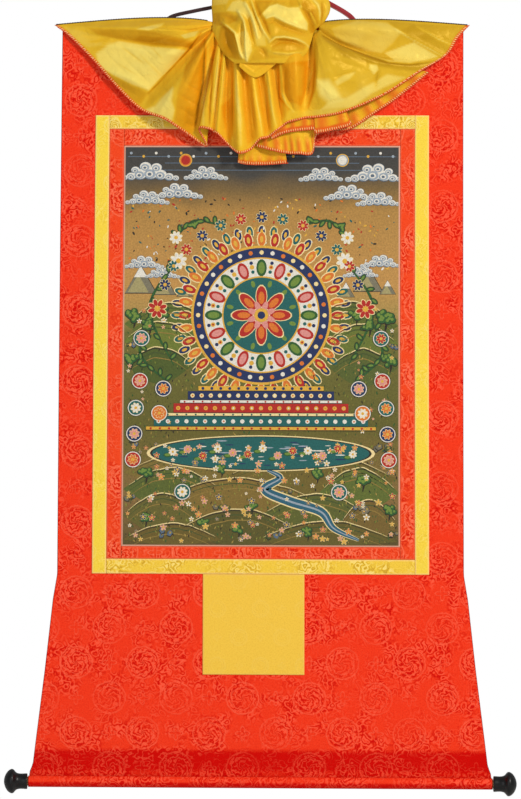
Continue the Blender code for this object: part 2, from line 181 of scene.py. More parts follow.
def brocade(name, ground, shade, light, edge, pitch, row, disc, shift, strength):
    """Silk brocade, jacquard woven: a smooth satin ground, with a low raised figure of medallions, sprigs
    and scrolls that is seen by its broken, paler and darker threads. pitch, row and disc are the repeat's
    width, the row height and a medallion's radius in mm, shift moves the repeat, and strength is how much
    the figure shows."""
    made, tree, shader = new_material(name, Roughness=0.6, Specular_IOR_Level=0.06)
    flat = add(tree, "UVMap", uv_map="flat")
    start = (shift[0] + pitch / 2, shift[1] - row / 2, 0)
    place = add(tree, "VectorMath", (flat, (1000, 1000, 1000), start), operation="MULTIPLY_ADD")
    figures = []
    for sideways in (0.0, pitch / 2):
        middles = []
        for step in ((sideways, 0, 0), (sideways + pitch / 2, row, 0)):
            moved = add(tree, "VectorMath", (place, step), operation="ADD")
            middles.append(add(tree, "VectorMath", (moved, (pitch / 2, row, 1), (-pitch / 2, -row, 0)),
                               operation="WRAP"))
        reaches = [add(tree, "VectorMath", (middle,), "Value", operation="LENGTH") for middle in middles]
        nearer = add(tree, "Math", reaches, operation="GREATER_THAN")
        middle = add(tree, "Mix", {0: nearer, 4: middles[0], 5: middles[1]}, 1, data_type="VECTOR")
        across = add(tree, "SeparateXYZ", (middle,), "X")
        up = add(tree, "SeparateXYZ", (middle,), "Y")
        figures.append((add(tree, "Math", reaches, operation="MINIMUM"),
                        add(tree, "Math", (up, across), operation="ARCTAN2")))
    (radius, angle), (sprig_radius, sprig_angle) = figures

    # Medallion: curling arms inside two thin rings. The real lines are 0.8 mm wide. They are drawn at 1.4 and
    # 2.4 mm so that they show. Noise scales are for mm here, so 0.17 gives bends about 6 mm long.
    curl = add(tree, "TexNoise", {"Vector": place, "Scale": 0.17, "Detail": 1.5}, noise_dimensions="2D")
    turned = add(tree, "Math", (angle, ARMS), operation="MULTIPLY")
    wind = add(tree, "Math", (radius, ARM_WINDING / disc, turned), operation="MULTIPLY_ADD")
    curled = add(tree, "Math", (curl, 11.0, wind), operation="MULTIPLY_ADD")
    arms = add(tree, "Math", (curled,), operation="SINE")
    in_disc = add(tree, "Math", (radius, disc * 0.9), operation="LESS_THAN")
    uneven = add(tree, "Math", (curl, 3.0, radius), operation="MULTIPLY_ADD")
    outer_ring = add(tree, "Math", (uneven, disc + 1.5, 1.2), operation="COMPARE")
    inner_ring = add(tree, "Math", (uneven, disc * 0.7 + 1.5, 0.7), operation="COMPARE")
    ring = add(tree, "Math", (outer_ring, inner_ring), operation="MAXIMUM")

    # Sprig between the medallions: a flower of four petals.
    petals = add(tree, "Math", (sprig_angle, 4.0), operation="MULTIPLY")
    petal = add(tree, "Math", (petals,), operation="COSINE")
    petal_edge = add(tree, "Math", (petal, disc * 0.14, disc * 0.3), operation="MULTIPLY_ADD")
    petal_line = add(tree, "Math", (sprig_radius, petal_edge, 1.2), operation="COMPARE")

    # Ground: broken scrolls that bend every 13 mm between the figures, in patches of 29 mm. The figure as a
    # whole is fainter here and there, over 70 mm.
    wander = add(tree, "TexNoise", {"Vector": place, "Scale": 0.075, "Detail": 1.5}, noise_dimensions="2D")
    winding = add(tree, "Math", (wander, 30.0), operation="MULTIPLY")
    scroll = add(tree, "Math", (winding,), operation="SINE")
    patches = add(tree, "TexNoise", {"Vector": place, "Scale": 0.035}, noise_dimensions="2D")
    patchy = add(tree, "MapRange", (patches, 0.36, 0.6, 0.25, 0.8))
    filled = add(tree, "Math", (in_disc, 0.8), operation="MULTIPLY")
    shown = add(tree, "Math", (filled, patchy), operation="MAXIMUM")
    faded = add(tree, "TexNoise", {"Vector": place, "Scale": 0.014, "Detail": 1.0}, noise_dimensions="2D")
    here = add(tree, "MapRange", (faded, 0.34, 0.58, 0.55 * strength, strength))
    wave = add(tree, "Mix", {0: in_disc, 2: scroll, 3: arms})
    figure_strength = add(tree, "Math", (shown, here), operation="MULTIPLY")
    figure = add(tree, "Math", (wave, figure_strength), operation="MULTIPLY")
    lines = add(tree, "Math", (ring, petal_line), operation="MAXIMUM")
    line_strength = add(tree, "MapRange", (faded, 0.3, 0.5, 0.5 * strength, 0.9 * strength))
    pale_lines = add(tree, "Math", (lines, line_strength), operation="MULTIPLY")

    # Threads of 0.25 mm, drawn at 2.2 mm so that they show as flecks.
    weave = add(tree, "TexNoise", {"Vector": place, "Scale": 0.45, "Detail": 2.0}, noise_dimensions="2D")
    dark = add(tree, "MapRange", (figure, 0.2, 0.8))
    pale = add(tree, "MapRange", (figure, -0.15, -0.7))
    soft = add(tree, "MapRange", (weave, 0.42, 0.7, 0.0, 0.3))
    # Painted shade, from the tone attribute: the mount is painted darker where it slopes back to the roll and
    # round the roll.
    painted_shade = add(tree, "Attribute", output="Fac", attribute_name="tone")
    weave_and_painted_shade = add(tree, "Math", (soft, painted_shade), operation="ADD")
    dark_amount = add(tree, "Math", (dark, weave_and_painted_shade), operation="ADD", use_clamp=True)
    broken = add(tree, "MapRange", (weave, 0.35, 0.6, 0.4, 0.9))
    pale_amount = add(tree, "Math", (pale_lines, broken, pale), operation="MULTIPLY_ADD", use_clamp=True)
    # Painted highlight along a panel's turned edges, from the hem attribute.
    folded = add(tree, "Attribute", output="Fac", attribute_name="hem")
    painted_edge_highlight = add(tree, "Math", (folded, 0.7), operation="MULTIPLY")
    # Painted shadow along the mount's two sides, from the glow attribute.
    cut = add(tree, "Attribute", output="Fac", attribute_name="glow")
    # The pale figure lines are dimmed in the painted shade.
    painted_shade_dimming = add(tree, "MapRange", (painted_shade, 0.0, 1.0, 1.0, 0.5))
    pale_here = add(tree, "Math", (pale_amount, painted_shade_dimming), operation="MULTIPLY")
    colour = linear(ground)
    for amount, other in ((dark_amount, shade), (pale_here, light), (painted_edge_highlight, edge), (cut, PAINTED_EDGE_SHADOW)):
        colour = add(tree, "Mix", {0: amount, COLOUR_A: colour, COLOUR_B: linear(other)}, COLOUR_OUT,
                     data_type="RGBA")
    raised = add(tree, "Math", (figure, pale_lines), operation="ADD")
    height = add(tree, "Math", (weave, 0.5, raised), operation="MULTIPLY_ADD")
    set_look(tree, shader, height, 0.0003, 0.7, Base_Color=colour)
    return made


def silk(name, pale, body, deep, dark, warm_body, warm_deep, hem):
    """Thin polyester satin, with its long warp threads on the face: smooth and glossy. Light and shade are
    painted into its colour by its tone attribute: a painted highlight where it lies turned to the light,
    painted shade in deep gold in its folds and a darker painted shadow in its creases. A painted glow, from
    its glow attribute, makes it orange where the cloth lies double and light goes through it twice."""
    made, tree, shader = new_material(name, Roughness=0.36, Specular_IOR_Level=0.4,
                                      Specular_Tint=linear("#FFD870"))
    tone = add(tree, "Attribute", output="Fac", attribute_name="tone")
    edge = add(tree, "Attribute", output="Fac", attribute_name="hem")
    place = add(tree, "TexCoord", output="Object")
    # Shades that change over about 22 mm.
    mottle = add(tree, "TexNoise", {"Vector": place, "Scale": 45.0, "Detail": 4.0})
    amount = add(tree, "Math", (mottle, 0.4, tone), operation="MULTIPLY_ADD")
    glow = add(tree, "Attribute", output="Fac", attribute_name="glow")
    colour, folded = (add(tree, "Mix", {0: glow, COLOUR_A: linear(cool), COLOUR_B: linear(warm)}, COLOUR_OUT,
                          data_type="RGBA") for cool, warm in ((body, warm_body), (deep, warm_deep)))
    # Painted shade from tone 0.2, painted shadow from tone 1.2, a painted highlight below tone 0.2, then the
    # hem's own colour.
    for share, other in ((add(tree, "MapRange", (amount, 0.2, 1.2)), folded),
                         (add(tree, "MapRange", (amount, 1.2, 2.2)), linear(dark)),
                         (add(tree, "MapRange", (amount, 0.2, -0.8)), linear(pale)), (edge, linear(hem))):
        colour = add(tree, "Mix", {0: share, COLOUR_A: colour, COLOUR_B: other}, COLOUR_OUT, data_type="RGBA")
    # Fine creases, 10 to 25 mm apart, over threads of 0.15 mm drawn at 1 mm.
    crinkle = add(tree, "TexNoise", {"Vector": place, "Scale": 70.0, "Detail": 4.0, "Distortion": 1.2})
    bent = add(tree, "VectorMath", (crinkle, (0.014, 0.014, 0.014), place), operation="MULTIPLY_ADD")
    creases = add(tree, "TexVoronoi", {"Vector": bent, "Scale": 48.0}, feature="DISTANCE_TO_EDGE")
    soft = add(tree, "MapRange", (creases, 0.0, 0.3))
    threads = add(tree, "TexNoise", {"Vector": place, "Scale": 900.0})
    crumple = add(tree, "Math", (soft, 0.5, crinkle), operation="MULTIPLY_ADD")
    height = add(tree, "Math", (threads, 0.1, crumple), operation="MULTIPLY_ADD")
    set_look(tree, shader, height, 0.002, 0.35, Base_Color=colour)
    return made


def painted_canvas(name):
    """Printed cotton canvas: flat matte ink over a fine plain weave, with a faint satin varnish."""
    made, tree, shader = new_material(name, Roughness=0.62, Specular_IOR_Level=0.3)
    paint = add(tree, "Attribute", attribute_name="paint")
    place = add(tree, "TexCoord", output="Object")
    # Threads of 0.5 mm, drawn at 2.4 mm so that they show.
    grain = add(tree, "TexNoise", {"Vector": place, "Scale": 420.0, "Detail": 3.0})
    lighter = add(tree, "MapRange", (grain, 0.3, 0.7, 0.8, 1.14))
    scaled = add(tree, "VectorMath", {0: paint, "Scale": lighter}, operation="SCALE")
    border = add(tree, "Attribute", output="Fac", attribute_name="hem")
    edged = add(tree, "Mix", {0: border, COLOUR_A: scaled, COLOUR_B: linear("#E2A890")}, COLOUR_OUT,
                data_type="RGBA")
    set_look(tree, shader, grain, 0.0003, 0.3, Base_Color=edged)
    return made


def lacquer(name):
    """Black lacquered turned wood: near black and semi-gloss, its shine dulled in specks by dust."""
    made, tree, shader = new_material(name, Base_Color=linear("#040405"), Specular_IOR_Level=0.3,
                                      Coat_Weight=0.12, Coat_Roughness=0.2)
    place = add(tree, "TexCoord", output="Object")
    # Specks in patches of about 6 mm.
    dust = add(tree, "TexNoise", {"Vector": place, "Scale": 160.0, "Detail": 4.0})
    rough = add(tree, "MapRange", (dust, 0.35, 0.65, 0.28, 0.5))
    set_look(tree, shader, dust, 0.0002, 0.25, Roughness=rough)
    return made


def planed_wood(name):
    """Bare fir stick, planed along its grain: matte, with pale bands that run with its length."""
    made, tree, shader = new_material(name, Roughness=0.62)
    place = add(tree, "TexCoord", output="Object")
    # Grain 4 mm wide and 250 mm long.
    along = add(tree, "Mapping", {"Vector": place, "Scale": (4.0, 260.0, 260.0)})
    grain = add(tree, "TexNoise", {"Vector": along, "Scale": 1.0, "Detail": 4.0})
    mixed = add(tree, "Mix", {0: grain, COLOUR_A: linear("#D9B483"), COLOUR_B: linear("#9C6B3C")}, COLOUR_OUT,
                data_type="RGBA")
    set_look(tree, shader, grain, 0.0003, 0.4, Base_Color=mixed)
    return made


def woven_cord(name):
    """Flat woven polyester cord: dark wine red with a soft sheen, broken by its slanting ribs. It is dark
    brown along its first part and goes over to wine red, with a worn, pinkish lower edge, along the rest."""
    made, tree, shader = new_material(name, Roughness=0.6, Sheen_Weight=0.2)
    flat = add(tree, "UVMap", uv_map="flat")
    round_it = add(tree, "SeparateXYZ", (flat,), "X")
    lower_edge = add(tree, "Math", (round_it, CORD_WIDTH * MM, 0.28 * CORD_WIDTH * MM), operation="COMPARE")
    slanted = add(tree, "Mapping", {"Vector": flat, "Rotation": (0, 0, math.radians(35))})
    # Ribs 1.2 mm apart.
    rib = add(tree, "TexWave", {"Vector": slanted, "Scale": 260.0, "Distortion": 0.6})
    face = add(tree, "Attribute", output="Fac", attribute_name="tone")
    body = add(tree, "Mix", {0: face, COLOUR_A: linear("#33211F"), COLOUR_B: linear("#B00C1C")}, COLOUR_OUT,
               data_type="RGBA")
    ribbed = add(tree, "Math", (rib, 0.35), operation="MULTIPLY")
    worn = add(tree, "Math", (lower_edge, face), operation="MULTIPLY")
    for share, other in ((worn, "#D8887C"), (ribbed, "#6E2430")):
        body = add(tree, "Mix", {0: share, COLOUR_A: body, COLOUR_B: linear(other)}, COLOUR_OUT,
                   data_type="RGBA")
    set_look(tree, shader, rib, 0.0005, 0.7, Base_Color=body)
    return made


def sewing_thread(name, across, along):
    """Twisted polyester sewing thread: a soft sheen, broken where the plies turn. The stitches across a hem
    and those along it are of two colours."""
    made, tree, shader = new_material(name, Roughness=0.5)
    which = add(tree, "Attribute", output="Fac", attribute_name="tone")
    mixed = add(tree, "Mix", {0: which, COLOUR_A: linear(across), COLOUR_B: linear(along)}, COLOUR_OUT,
                data_type="RGBA")
    place = add(tree, "TexCoord", output="Object")
    # Plies 0.4 mm wide, drawn at 1.7 mm so that they show.
    plies = add(tree, "TexNoise", {"Vector": place, "Scale": 600.0})
    set_look(tree, shader, plies, 0.0004, 0.6, Base_Color=mixed)
    return made


def finished(name, bm, material, slot, *nodes):
    """Turn a bmesh into a smooth piece that rides on the part, in place of the named nodes."""
    mesh = bpy.data.meshes.new(name)
    bm.to_mesh(mesh)
    bm.free()
    mesh.shade_smooth()
    mesh.materials.append(material)
    piece = bpy.data.objects.new(name, mesh)
    bpy.context.scene.collection.objects.link(piece)
    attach(piece, "root")
    if nodes:
        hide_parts(*nodes)
    return piece


def thicken(piece, thickness):
    """Give a sheet its thickness in mm, half on each side."""
    solid = piece.modifiers.new("Thickness", "SOLIDIFY")
    solid.thickness = thickness * MM
    solid.offset = 0.0


def sheet_mesh(columns, rows, place, size, shades):
    """A bmesh cloth grid. place(u, v) gives a point in mm, size the flat cloth in mm for its UV map, and
    shades(u, v) the values of its tone, hem and glow attributes."""
    bm = bmesh.new()
    flat = bm.loops.layers.uv.new("flat")
    kinds = [bm.verts.layers.float.new(kind) for kind in ("tone", "hem", "glow")]
    bmesh.ops.create_grid(bm, x_segments=columns, y_segments=rows, size=0.5)
    for face in bm.faces:
        for loop in face.loops:
            u, v = loop.vert.co.x + 0.5, 0.5 - loop.vert.co.y
            loop[flat].uv = ((u - 0.5) * size[0] * MM, -v * size[1] * MM)
    for vert in bm.verts:
        u, v = vert.co.x + 0.5, 0.5 - vert.co.y
        vert.co = to_world(*place(u, v))
        for kind, value in zip(kinds, shades(u, v)):
            vert[kind] = value
    return bm


def half_width(z):
    """Half the mount's upright width at a height, from its outline."""
    for (upper_z, upper), (lower_z, lower) in zip(MOUNT_OUTLINE, MOUNT_OUTLINE[1:]):
        if z >= lower_z:
            return upper + (lower - upper) * (upper_z - z) / (upper_z - lower_z)
    return MOUNT_OUTLINE[-1][1]


# Degrees that the cloth goes round the rod, and its rows there.
ROLL_TURN = 300
ROLL_STEPS = 40
# Rows (out, z) of the band that slopes back from the front to the roll.
SLOPE_TO_ROLL = [(-0.5, -1214), (-1.3, -1222), (-2.4, -1230), (-3.6, -1238), (-4.8, -1245), (-5.9, -1252)]


def mount_section():
    """The mount's section: top hem, sleeve over the batten, the long front, and the roll round the rod."""
    half = MOUNT_THICKNESS / 2
    fold = -SLEEVE_BACK / 2
    fold_z = TOP_Z - half - TOP_FOLD_HEIGHT
    sleeve_low = fold_z - BATTEN_HEIGHT - 5
    seam_out = -(MOUNT_THICKNESS + GAP)
    section = [(seam_out, sleeve_low - 16), (seam_out, sleeve_low - 9), (SLEEVE_BACK, sleeve_low),
               (SLEEVE_BACK, fold_z)]
    for step in range(1, 12):
        turn = math.pi - math.pi * step / 12
        section.append((-fold + fold * math.cos(turn), fold_z + TOP_FOLD_HEIGHT * math.sin(turn)))
    drop = FRONT_LOW_Z - fold_z
    section += [(0.0, fold_z + drop * step / FRONT_STEPS) for step in range(FRONT_STEPS + 1)]
    section += SLOPE_TO_ROLL
    for step in range(ROLL_STEPS + 1):
        turn = math.radians(180 + ROLL_TURN * step / ROLL_STEPS)
        section.append((ROD_OUT + ROLL_RADIUS * math.cos(turn), ROD_Z + ROLL_RADIUS * math.sin(turn)))
    return section


def make_mount(material):
    """The red ground cloth with its sleeve and roll, a little uneven as it hangs."""
    section = mount_section()
    lengths = [0.0]
    for (out_a, z_a), (out_b, z_b) in zip(section, section[1:]):
        lengths.append(lengths[-1] + math.hypot(out_b - out_a, z_b - z_a))
    rows, columns = len(section) - 1, MOUNT_COLUMNS

    def place(u, v):
        out, z = section[round(v * rows)]
        upright_x = from_edge(u, 2 * half_width(z), columns) - half_width(z)
        x, hung_z = hung(upright_x, z)
        in_front = 1.0 if FRONT_LOW_Z < z < FRONT_TOP_Z else 0.0
        return x, out + ripple(upright_x, z) * in_front, hung_z

    def shades(u, v):
        """Painted shade: the cloth is painted darker in the band that slopes back to the roll, where it turns
        from the light, under the roll and in the crease over its top. Its sides get a painted shadow, in the
        glow attribute."""
        row = round(v * rows)
        z = section[row][1]
        # Painted shadow along the mount's two sides.
        edge = 1.0 if round(u * columns) in (0, columns) else 0.0
        if row > rows - ROLL_STEPS:
            turn = ROLL_TURN * (row - rows + ROLL_STEPS) / ROLL_STEPS
            return 0.95 * blend(190, 165, turn) + 0.5 * blend(248, 262, turn), 0.0, edge
        painted_band_shade = 0.5 * blend(-1216, -1220, z) + 0.5 * blend(-1217, -1221, z) * blend(-1252, -1247, z)
        return painted_band_shade, 0.0, edge

    bm = sheet_mesh(columns, rows, place, (1.0, 1.0), shades)
    flat = bm.loops.layers.uv.active
    for face in bm.faces:
        for loop in face.loops:
            u, v = loop[flat].uv.x / MM + 0.5, -loop[flat].uv.y / MM
            row = round(v * rows)
            half = half_width(section[row][1])
            loop[flat].uv = ((from_edge(u, 2 * half, columns) - half) * MM, -lengths[row] * MM)
    piece = finished("mount_brocade", bm, material, "red_brocade", "mount_cloth")
    thicken(piece, MOUNT_THICKNESS - 0.1)


# Distances in mm of the grid lines near an edge.
EDGE_LINES = (0.0, 1.3, 2.8)


def from_edge(share, length, count):
    """A place along a length: even grid lines, but for three close to each end, where cloth turns under."""
    index = round(share * count)
    if index < len(EDGE_LINES):
        return EDGE_LINES[index]
    if index > count - len(EDGE_LINES):
        return length - EDGE_LINES[count - index]
    even = (length - 2 * EDGE_LINES[-1]) / (count - 4)
    return EDGE_LINES[-1] + even * (index - 2)


def make_panel(name, left, right, top, bottom, material, slot, cell=5.0, butted=False):
    """A piece sewn flat on the mount, its turned edges pressed down and a little puckered. The ends of a
    butted piece meet others and aren't turned."""
    width, height = right - left, top - bottom
    columns = max(6, round(width / cell) + 4)
    rows = max(6, round(height / cell) + 4)

    def edge_at(u, v):
        along, down = from_edge(u, width, columns), from_edge(v, height, rows)
        return along, down, min(down, height - down, *(() if butted else (along, width - along)))

    def place(u, v):
        along, down, edge = edge_at(u, v)
        x, z = left + along, top - down
        pressed = 0.25 * math.exp(-edge / 1.2)
        pucker = 0.12 * math.exp(-edge / 7) * noise.noise(Vector((x / 7, z / 7, 2.2)))
        hung_x, hung_z = hung(x, z)
        return hung_x, PANEL_OUT - pressed + pucker + ripple(x, z), hung_z

    # The hem attribute marks the turned edges: the brocades paint a highlight there, where the folded edge
    # catches the light, and the canvas has its pale border there.
    def shades(u, v):
        return 0.0, 1.0 if edge_at(u, v)[2] < 2 else 0.0

    bm = sheet_mesh(columns, rows, place, (width, height), shades)
    flat = bm.loops.layers.uv.active
    for face in bm.faces:
        for loop in face.loops:
            along, down = (from_edge(loop[flat].uv.x / (width * MM) + 0.5, width, columns),
                           from_edge(-loop[flat].uv.y / (height * MM), height, rows))
            loop[flat].uv = ((left + along) * MM, (top - down) * MM)
    piece = finished(name + "_cloth", bm, material, slot, name)
    thicken(piece, PANEL_THICKNESS)
    return piece


def make_borders(red, figured, plain):
    """Yellow border and the red one inside it. The yellow upright strips are cut the other way, so their
    figure hardly shows."""
    for name, outer, inner, level, upright, slot in (
            ("yellow_border", "yellow_outer", "red_outer", figured, plain, "yellow_brocade"),
            ("red_border", "red_outer", "painting", red, red, "red_brocade")):
        outer_half, outer_top, outer_bottom = FRAMES[outer]
        inner_half, inner_top, inner_bottom = FRAMES[inner]
        inner_half, inner_top, inner_bottom = inner_half + GAP, inner_top + GAP, inner_bottom - GAP
        between = inner_half - GAP
        make_panel(name + "_left", -outer_half, -inner_half, outer_top, outer_bottom, upright, slot)
        make_panel(name + "_right", inner_half, outer_half, outer_top, outer_bottom, upright, slot)
        make_panel(name + "_top", -between, between, outer_top, inner_top, level, slot, butted=True)
        make_panel(name + "_bottom", -between, between, inner_bottom, outer_bottom, level, slot,
                   butted=True)


def near_line(points, x, z):
    """How far a place is from a bent line, and how far along the line that is, from 0 to 1."""
    nearest = (1e9, 0.0)
    for index, ((start_x, start_z), (end_x, end_z)) in enumerate(zip(points, points[1:])):
        run_x, run_z = end_x - start_x, end_z - start_z
        part = clamp(((x - start_x) * run_x + (z - start_z) * run_z) / (run_x ** 2 + run_z ** 2))
        away = math.hypot(x - start_x - run_x * part, z - start_z - run_z * part)
        nearest = min(nearest, (away, (index + part) / (len(points) - 1)))
    return nearest


def box_round(points, reach):
    """The box (low x, high x, low z, high z) round some points, larger by reach on each side."""
    all_x, all_z = zip(*points)
    return min(all_x) - reach, max(all_x) + reach, min(all_z) - reach, max(all_z) + reach


def with_reach(folds):
    """A table of folds, each with the box outside which it does nothing."""
    return [(points, width, height, box_round(points, 3 * width)) for points, width, height in folds]


def with_box(facets):
    """A table of facets, each with the box outside which it does nothing."""
    return [(corners, softness, depth, box_round(corners, softness)) for corners, softness, depth in facets]


def fold_relief(folds, x, z):
    """How far the folds of a table stand out (or in) at a place."""
    relief = 0.0
    for points, width, height, (low_x, high_x, low_z, high_z) in folds:
        if low_x < x < high_x and low_z < z < high_z:
            away, along = near_line(points, x, z)
            relief += height * math.exp(-(away / width) ** 1.2) * math.sin(math.pi * (0.14 + 0.72 * along))
    return relief


def lies_inside(corners, x, z):
    """Whether a place lies inside a closed outline."""
    within = False
    for (start_x, start_z), (end_x, end_z) in zip(corners, corners[1:] + corners[:1]):
        if (start_z > z) != (end_z > z):
            crossing = start_x + (end_x - start_x) * (z - start_z) / (end_z - start_z)
            within = not within if x < crossing else within
    return within


def facet_tone(facets, x, z):
    """How much painted highlight (below 0) or painted shade (above 0) the silk gets at a place, by a table of
    flat facets.
    """
    tone = 0.0
    for corners, softness, depth, (low_x, high_x, low_z, high_z) in facets:
        if low_x < x < high_x and low_z < z < high_z:
            away, _along = near_line(corners + corners[:1], x, z)
            tone += depth * blend(-softness, softness, away if lies_inside(corners, x, z) else -away)
    return tone


# Ribs of the veil run from the gather to the hem. `belly` swells a rib forwards and `rise` lifts its middle.
# `tone` is painted shade along a rib, deeper in the pleats.
FRONT_RIBS = [
    # (gather_x, gather_out, gather_z, hem_x, hem_out, hem_z, belly, rise, tone)
    (-76, 16, -91, -323, 1.9, -93.5, 0, 9, 0.0),
    (-77, 17, -94, -302, 5.5, -109, 12, 0, 0.15),
    (-79, 17, -97, -264, 8, -147, 9, 0, 0.1),
    (-79, 18, -99, -225, 11, -191, 17, 0, 0.0),
    (-78, 18, -102, -189, 11, -225, 3, 0, 0.15),
    (-76, 19, -105, -153, 21, -240, 19, 0, 0.1),
    (-74, 19, -108, -126, 17, -257, 11, 0, 0.5),
    (-71, 20, -111, -88, 13, -282, 4, 0, 0.6),
    (-68, 21, -114, -99, 26, -256, 9, 0, 0.3),
    (-65, 21, -116, -82, 33, -257, 11, 0, 0.2),
    (-62, 21, -118, -77, 26, -260, 8, 0, 0.6),
    (-58, 21, -120, -70, 32, -264, 11, 0, 0.3),
    (-53, 22, -122, -57, 22, -277, 5, 0, 0.8),
    (-47, 22, -124, -46, 28, -288, 8, 0, 0.5),
    (-41, 23, -126, -35, 36, -294, 11, 0, 0.2),
    (-32, 23, -127, -19, 29, -288, 7, 0, 0.7),
    (-23, 23, -129, -5, 36, -273, 12, 0, 0.4),
    (-11, 23, -129, 8, 30, -269, 7, 0, 0.75),
    (2, 23, -129, 20, 37, -260, 12, 0, 0.4),
    (12, 23, -129, 29, 29, -253, 6, 0, 0.7),
    (23, 22, -127, 39, 32, -246, 16, 0, 0.5),
    (48, 22, -121, 54, 29, -242, 30, 0, 0.5),
    (70, 20, -113, 66, 27, -239, 3, 0, 0.5),
    (76, 19, -110, 89, 30, -237, 14, 0, 0.15),
    (80, 18, -107, 127, 29, -229, 22, 0, 0.0),
    (83, 18, -105, 188, 22, -202, 24, -3, 0.0),
    (85, 17, -103, 243, 15, -166, 19, -12, 0.1),
    (87, 17, -101, 284, 9, -140, 3, -20, 0.2),
    (84, 16, -97, 302, 5.5, -113, 11, 2, 0.0),
    (80, 16, -93, 319, 1.9, -94, 0, 8, 0.0),
]
# A doubled strip of hem that shows under the front one, right of the pleats.
TURNED_HEM_RIBS = [
    (8, 21, -128, 12, 27, -272, 0, 0, 0.9),
    (26, 21, -125, 34, 25, -262, 2, 0, 0.9),
    (52, 20, -119, 60, 24, -258, 4, 0, 0.9),
    (70, 19, -113, 80, 24, -257, 2, 0, 0.9),
    (74, 18, -111, 84, 26, -262, 3, 0, 0.8),
    (80, 18, -108, 130, 24, -252, 6, 0, 0.8),
    (82, 18, -107, 136, 20, -246, 6, 0, 0.9),
]
LOWEST_TIER_RIBS = [
    (-24, 19, -127, -39, 10, -307, 0, 0, 0.5),
    (-14, 19, -128, -22, 14, -310, 2, 0, 0.6),
    (0, 19, -128, 6, 9, -310, 0, 0, 0.7),
    (14, 19, -127, 37, 12, -308, 0, 0, 0.7),
]
SECOND_TIER_RIBS = [
    (-4, 21, -127, -11, 17, -282, 1, 0, 0.8),
    (8, 21, -127, 12, 20, -288, 1, 0, 0.8),
    (20, 20, -126, 37, 17, -293, 0, 0, 0.8),
    (36, 20, -123, 56, 20, -294, 0, 0, 0.3),
    (50, 19, -119, 76, 16, -293, 0, 0, 0.3),
    (60, 19, -116, 83, 15, -266, 0, 0, 0.5),
    (67, 18, -114, 108, 18, -259, 0, 0, 0.6),
    (72, 18, -112, 137, 14, -254, 0, 0, 0.6),
    (76, 17, -110, 175, 11, -229, 3, 0, 0.7),
    (80, 16, -108, 209, 9, -206, 4, 0, 0.7),
    (83, 16, -106, 257, 7, -167, 4, -6, 0.6),
]
TAB_RIBS = [
    (-30, 30, -128, -37, 46, -161, 3, 0, 0.4),
    (-14, 31, -130, -11, 45, -178, 3, 0, 0.4),
    (8, 31, -130, 20, 46, -157, 3, 0, 0.5),
]
# A rib drops fast from the gather to its hem's depth, by SEAT_POWER, and swells most above its middle, by
# SWELL_EARLY.
SEAT_POWER = 3
SWELL_EARLY = 0.7
# Folds stand this many times as high as their tables say.
FOLD_HEIGHT = 1.5
SILK_THICKNESS = 0.7
HEM_WIDTH = 5.0
STITCH_PITCH = 3.6
# The length in mm of each of the veil's two upper edges, from the gather to the mount's corner.
TOP_EDGE_LENGTH = 235

HOOD_STATIONS = [
    # (z, left_x, right_x, out_middle, out_edge)
    (-122, -52, 62, 17, 17), (-100, -66, 82, 9.5, 9), (-68, -77, 92, 7, 7), (-42, -76, 91, 7.5, 7),
    (-27, -66, 82, 17, 12), (-40, -77, 94, 31, 14), (-66, -79, 104, 41, 14), (-88, -78, 96, 48, 17),
    (-104, -78, 80, 51, 22), (-122, -71, 74, 54, 29), (-141, -60, 66, 56, 37), (-156, -42, 44, 52, 44),
    (-147, -38, 40, 42, 36), (-134, -36, 40, 31, 30),
]
# The first station of the hood's front, where its folds start.
HOOD_FRONT = 5
HOOD_FLAT = (170, 320)
HOOD_FOLDS = with_reach([
    # (x, z) of each bend, then width and height
    (((-62, -93), (-53, -101), (-44, -110), (-40, -124), (-37, -137), (-32, -148)), 2.4, 6.5),
    (((-58, -104), (-55, -124), (-48, -140)), 7.5, -8),
    (((-38, -76), (-30, -90), (-27, -108), (-27, -131), (-25, -153)), 2.3, 6),
    (((-33, -96), (-34, -120), (-33, -140)), 2.6, -4.5),
    (((-26, -83), (-20, -97), (-18, -112), (-14, -126)), 2.8, -5),
    (((-28, -61), (-19, -79), (-13, -97), (-8, -117)), 2.4, 4.5),
    (((-22, -61), (-14, -79), (-7, -97), (-2, -114)), 2.0, -3.5),
    (((-18, -58), (-10, -83), (-1, -104), (9, -120)), 2.4, 4.5),
    (((-13, -62), (-6, -80), (3, -99), (9, -112)), 3.0, -5),
    (((-73, -76), (-60, -85), (-57, -96)), 4.7, 3),
    (((-68, -80), (-50, -86), (-40, -92)), 4.2, -4),
    (((5, -86), (17, -83), (33, -92), (55, -101), (68, -104)), 2.6, 5),
    (((0, -78), (10, -69), (22, -65), (39, -71), (55, -70)), 2.6, 4),
    (((3, -94), (17, -91), (33, -100), (55, -108), (68, -110)), 4.0, -5),
    (((-15, -58), (13, -59), (40, -62)), 4.0, -4),
    (((10, -124), (19, -117), (32, -116), (51, -119), (63, -124), (71, -130)), 2.4, 6.5),
    (((15, -129), (26, -123), (45, -123), (64, -130)), 2.8, -5),
    (((9, -137), (19, -140), (39, -142), (64, -137)), 2.6, 4),
    (((-17, -129), (-2, -135), (5, -146)), 4.0, -3.5),
    (((54, -54), (59, -68), (72, -75), (80, -90), (85, -106)), 2.2, 6),
    (((62, -62), (66, -70), (76, -76), (84, -92)), 2.4, -4),
    (((62, -74), (69, -80), (76, -97), (79, -108)), 3.0, -5),
    (((75, -54), (85, -65), (88, -77), (88, -94)), 2.2, 5),
    (((93, -59), (93, -76), (90, -95)), 2.2, -4.5),
    (((99, -59), (99, -74), (96, -91)), 3.0, 4),
    (((-73, -107), (-68, -127), (-60, -140)), 2.8, 3.5),
])
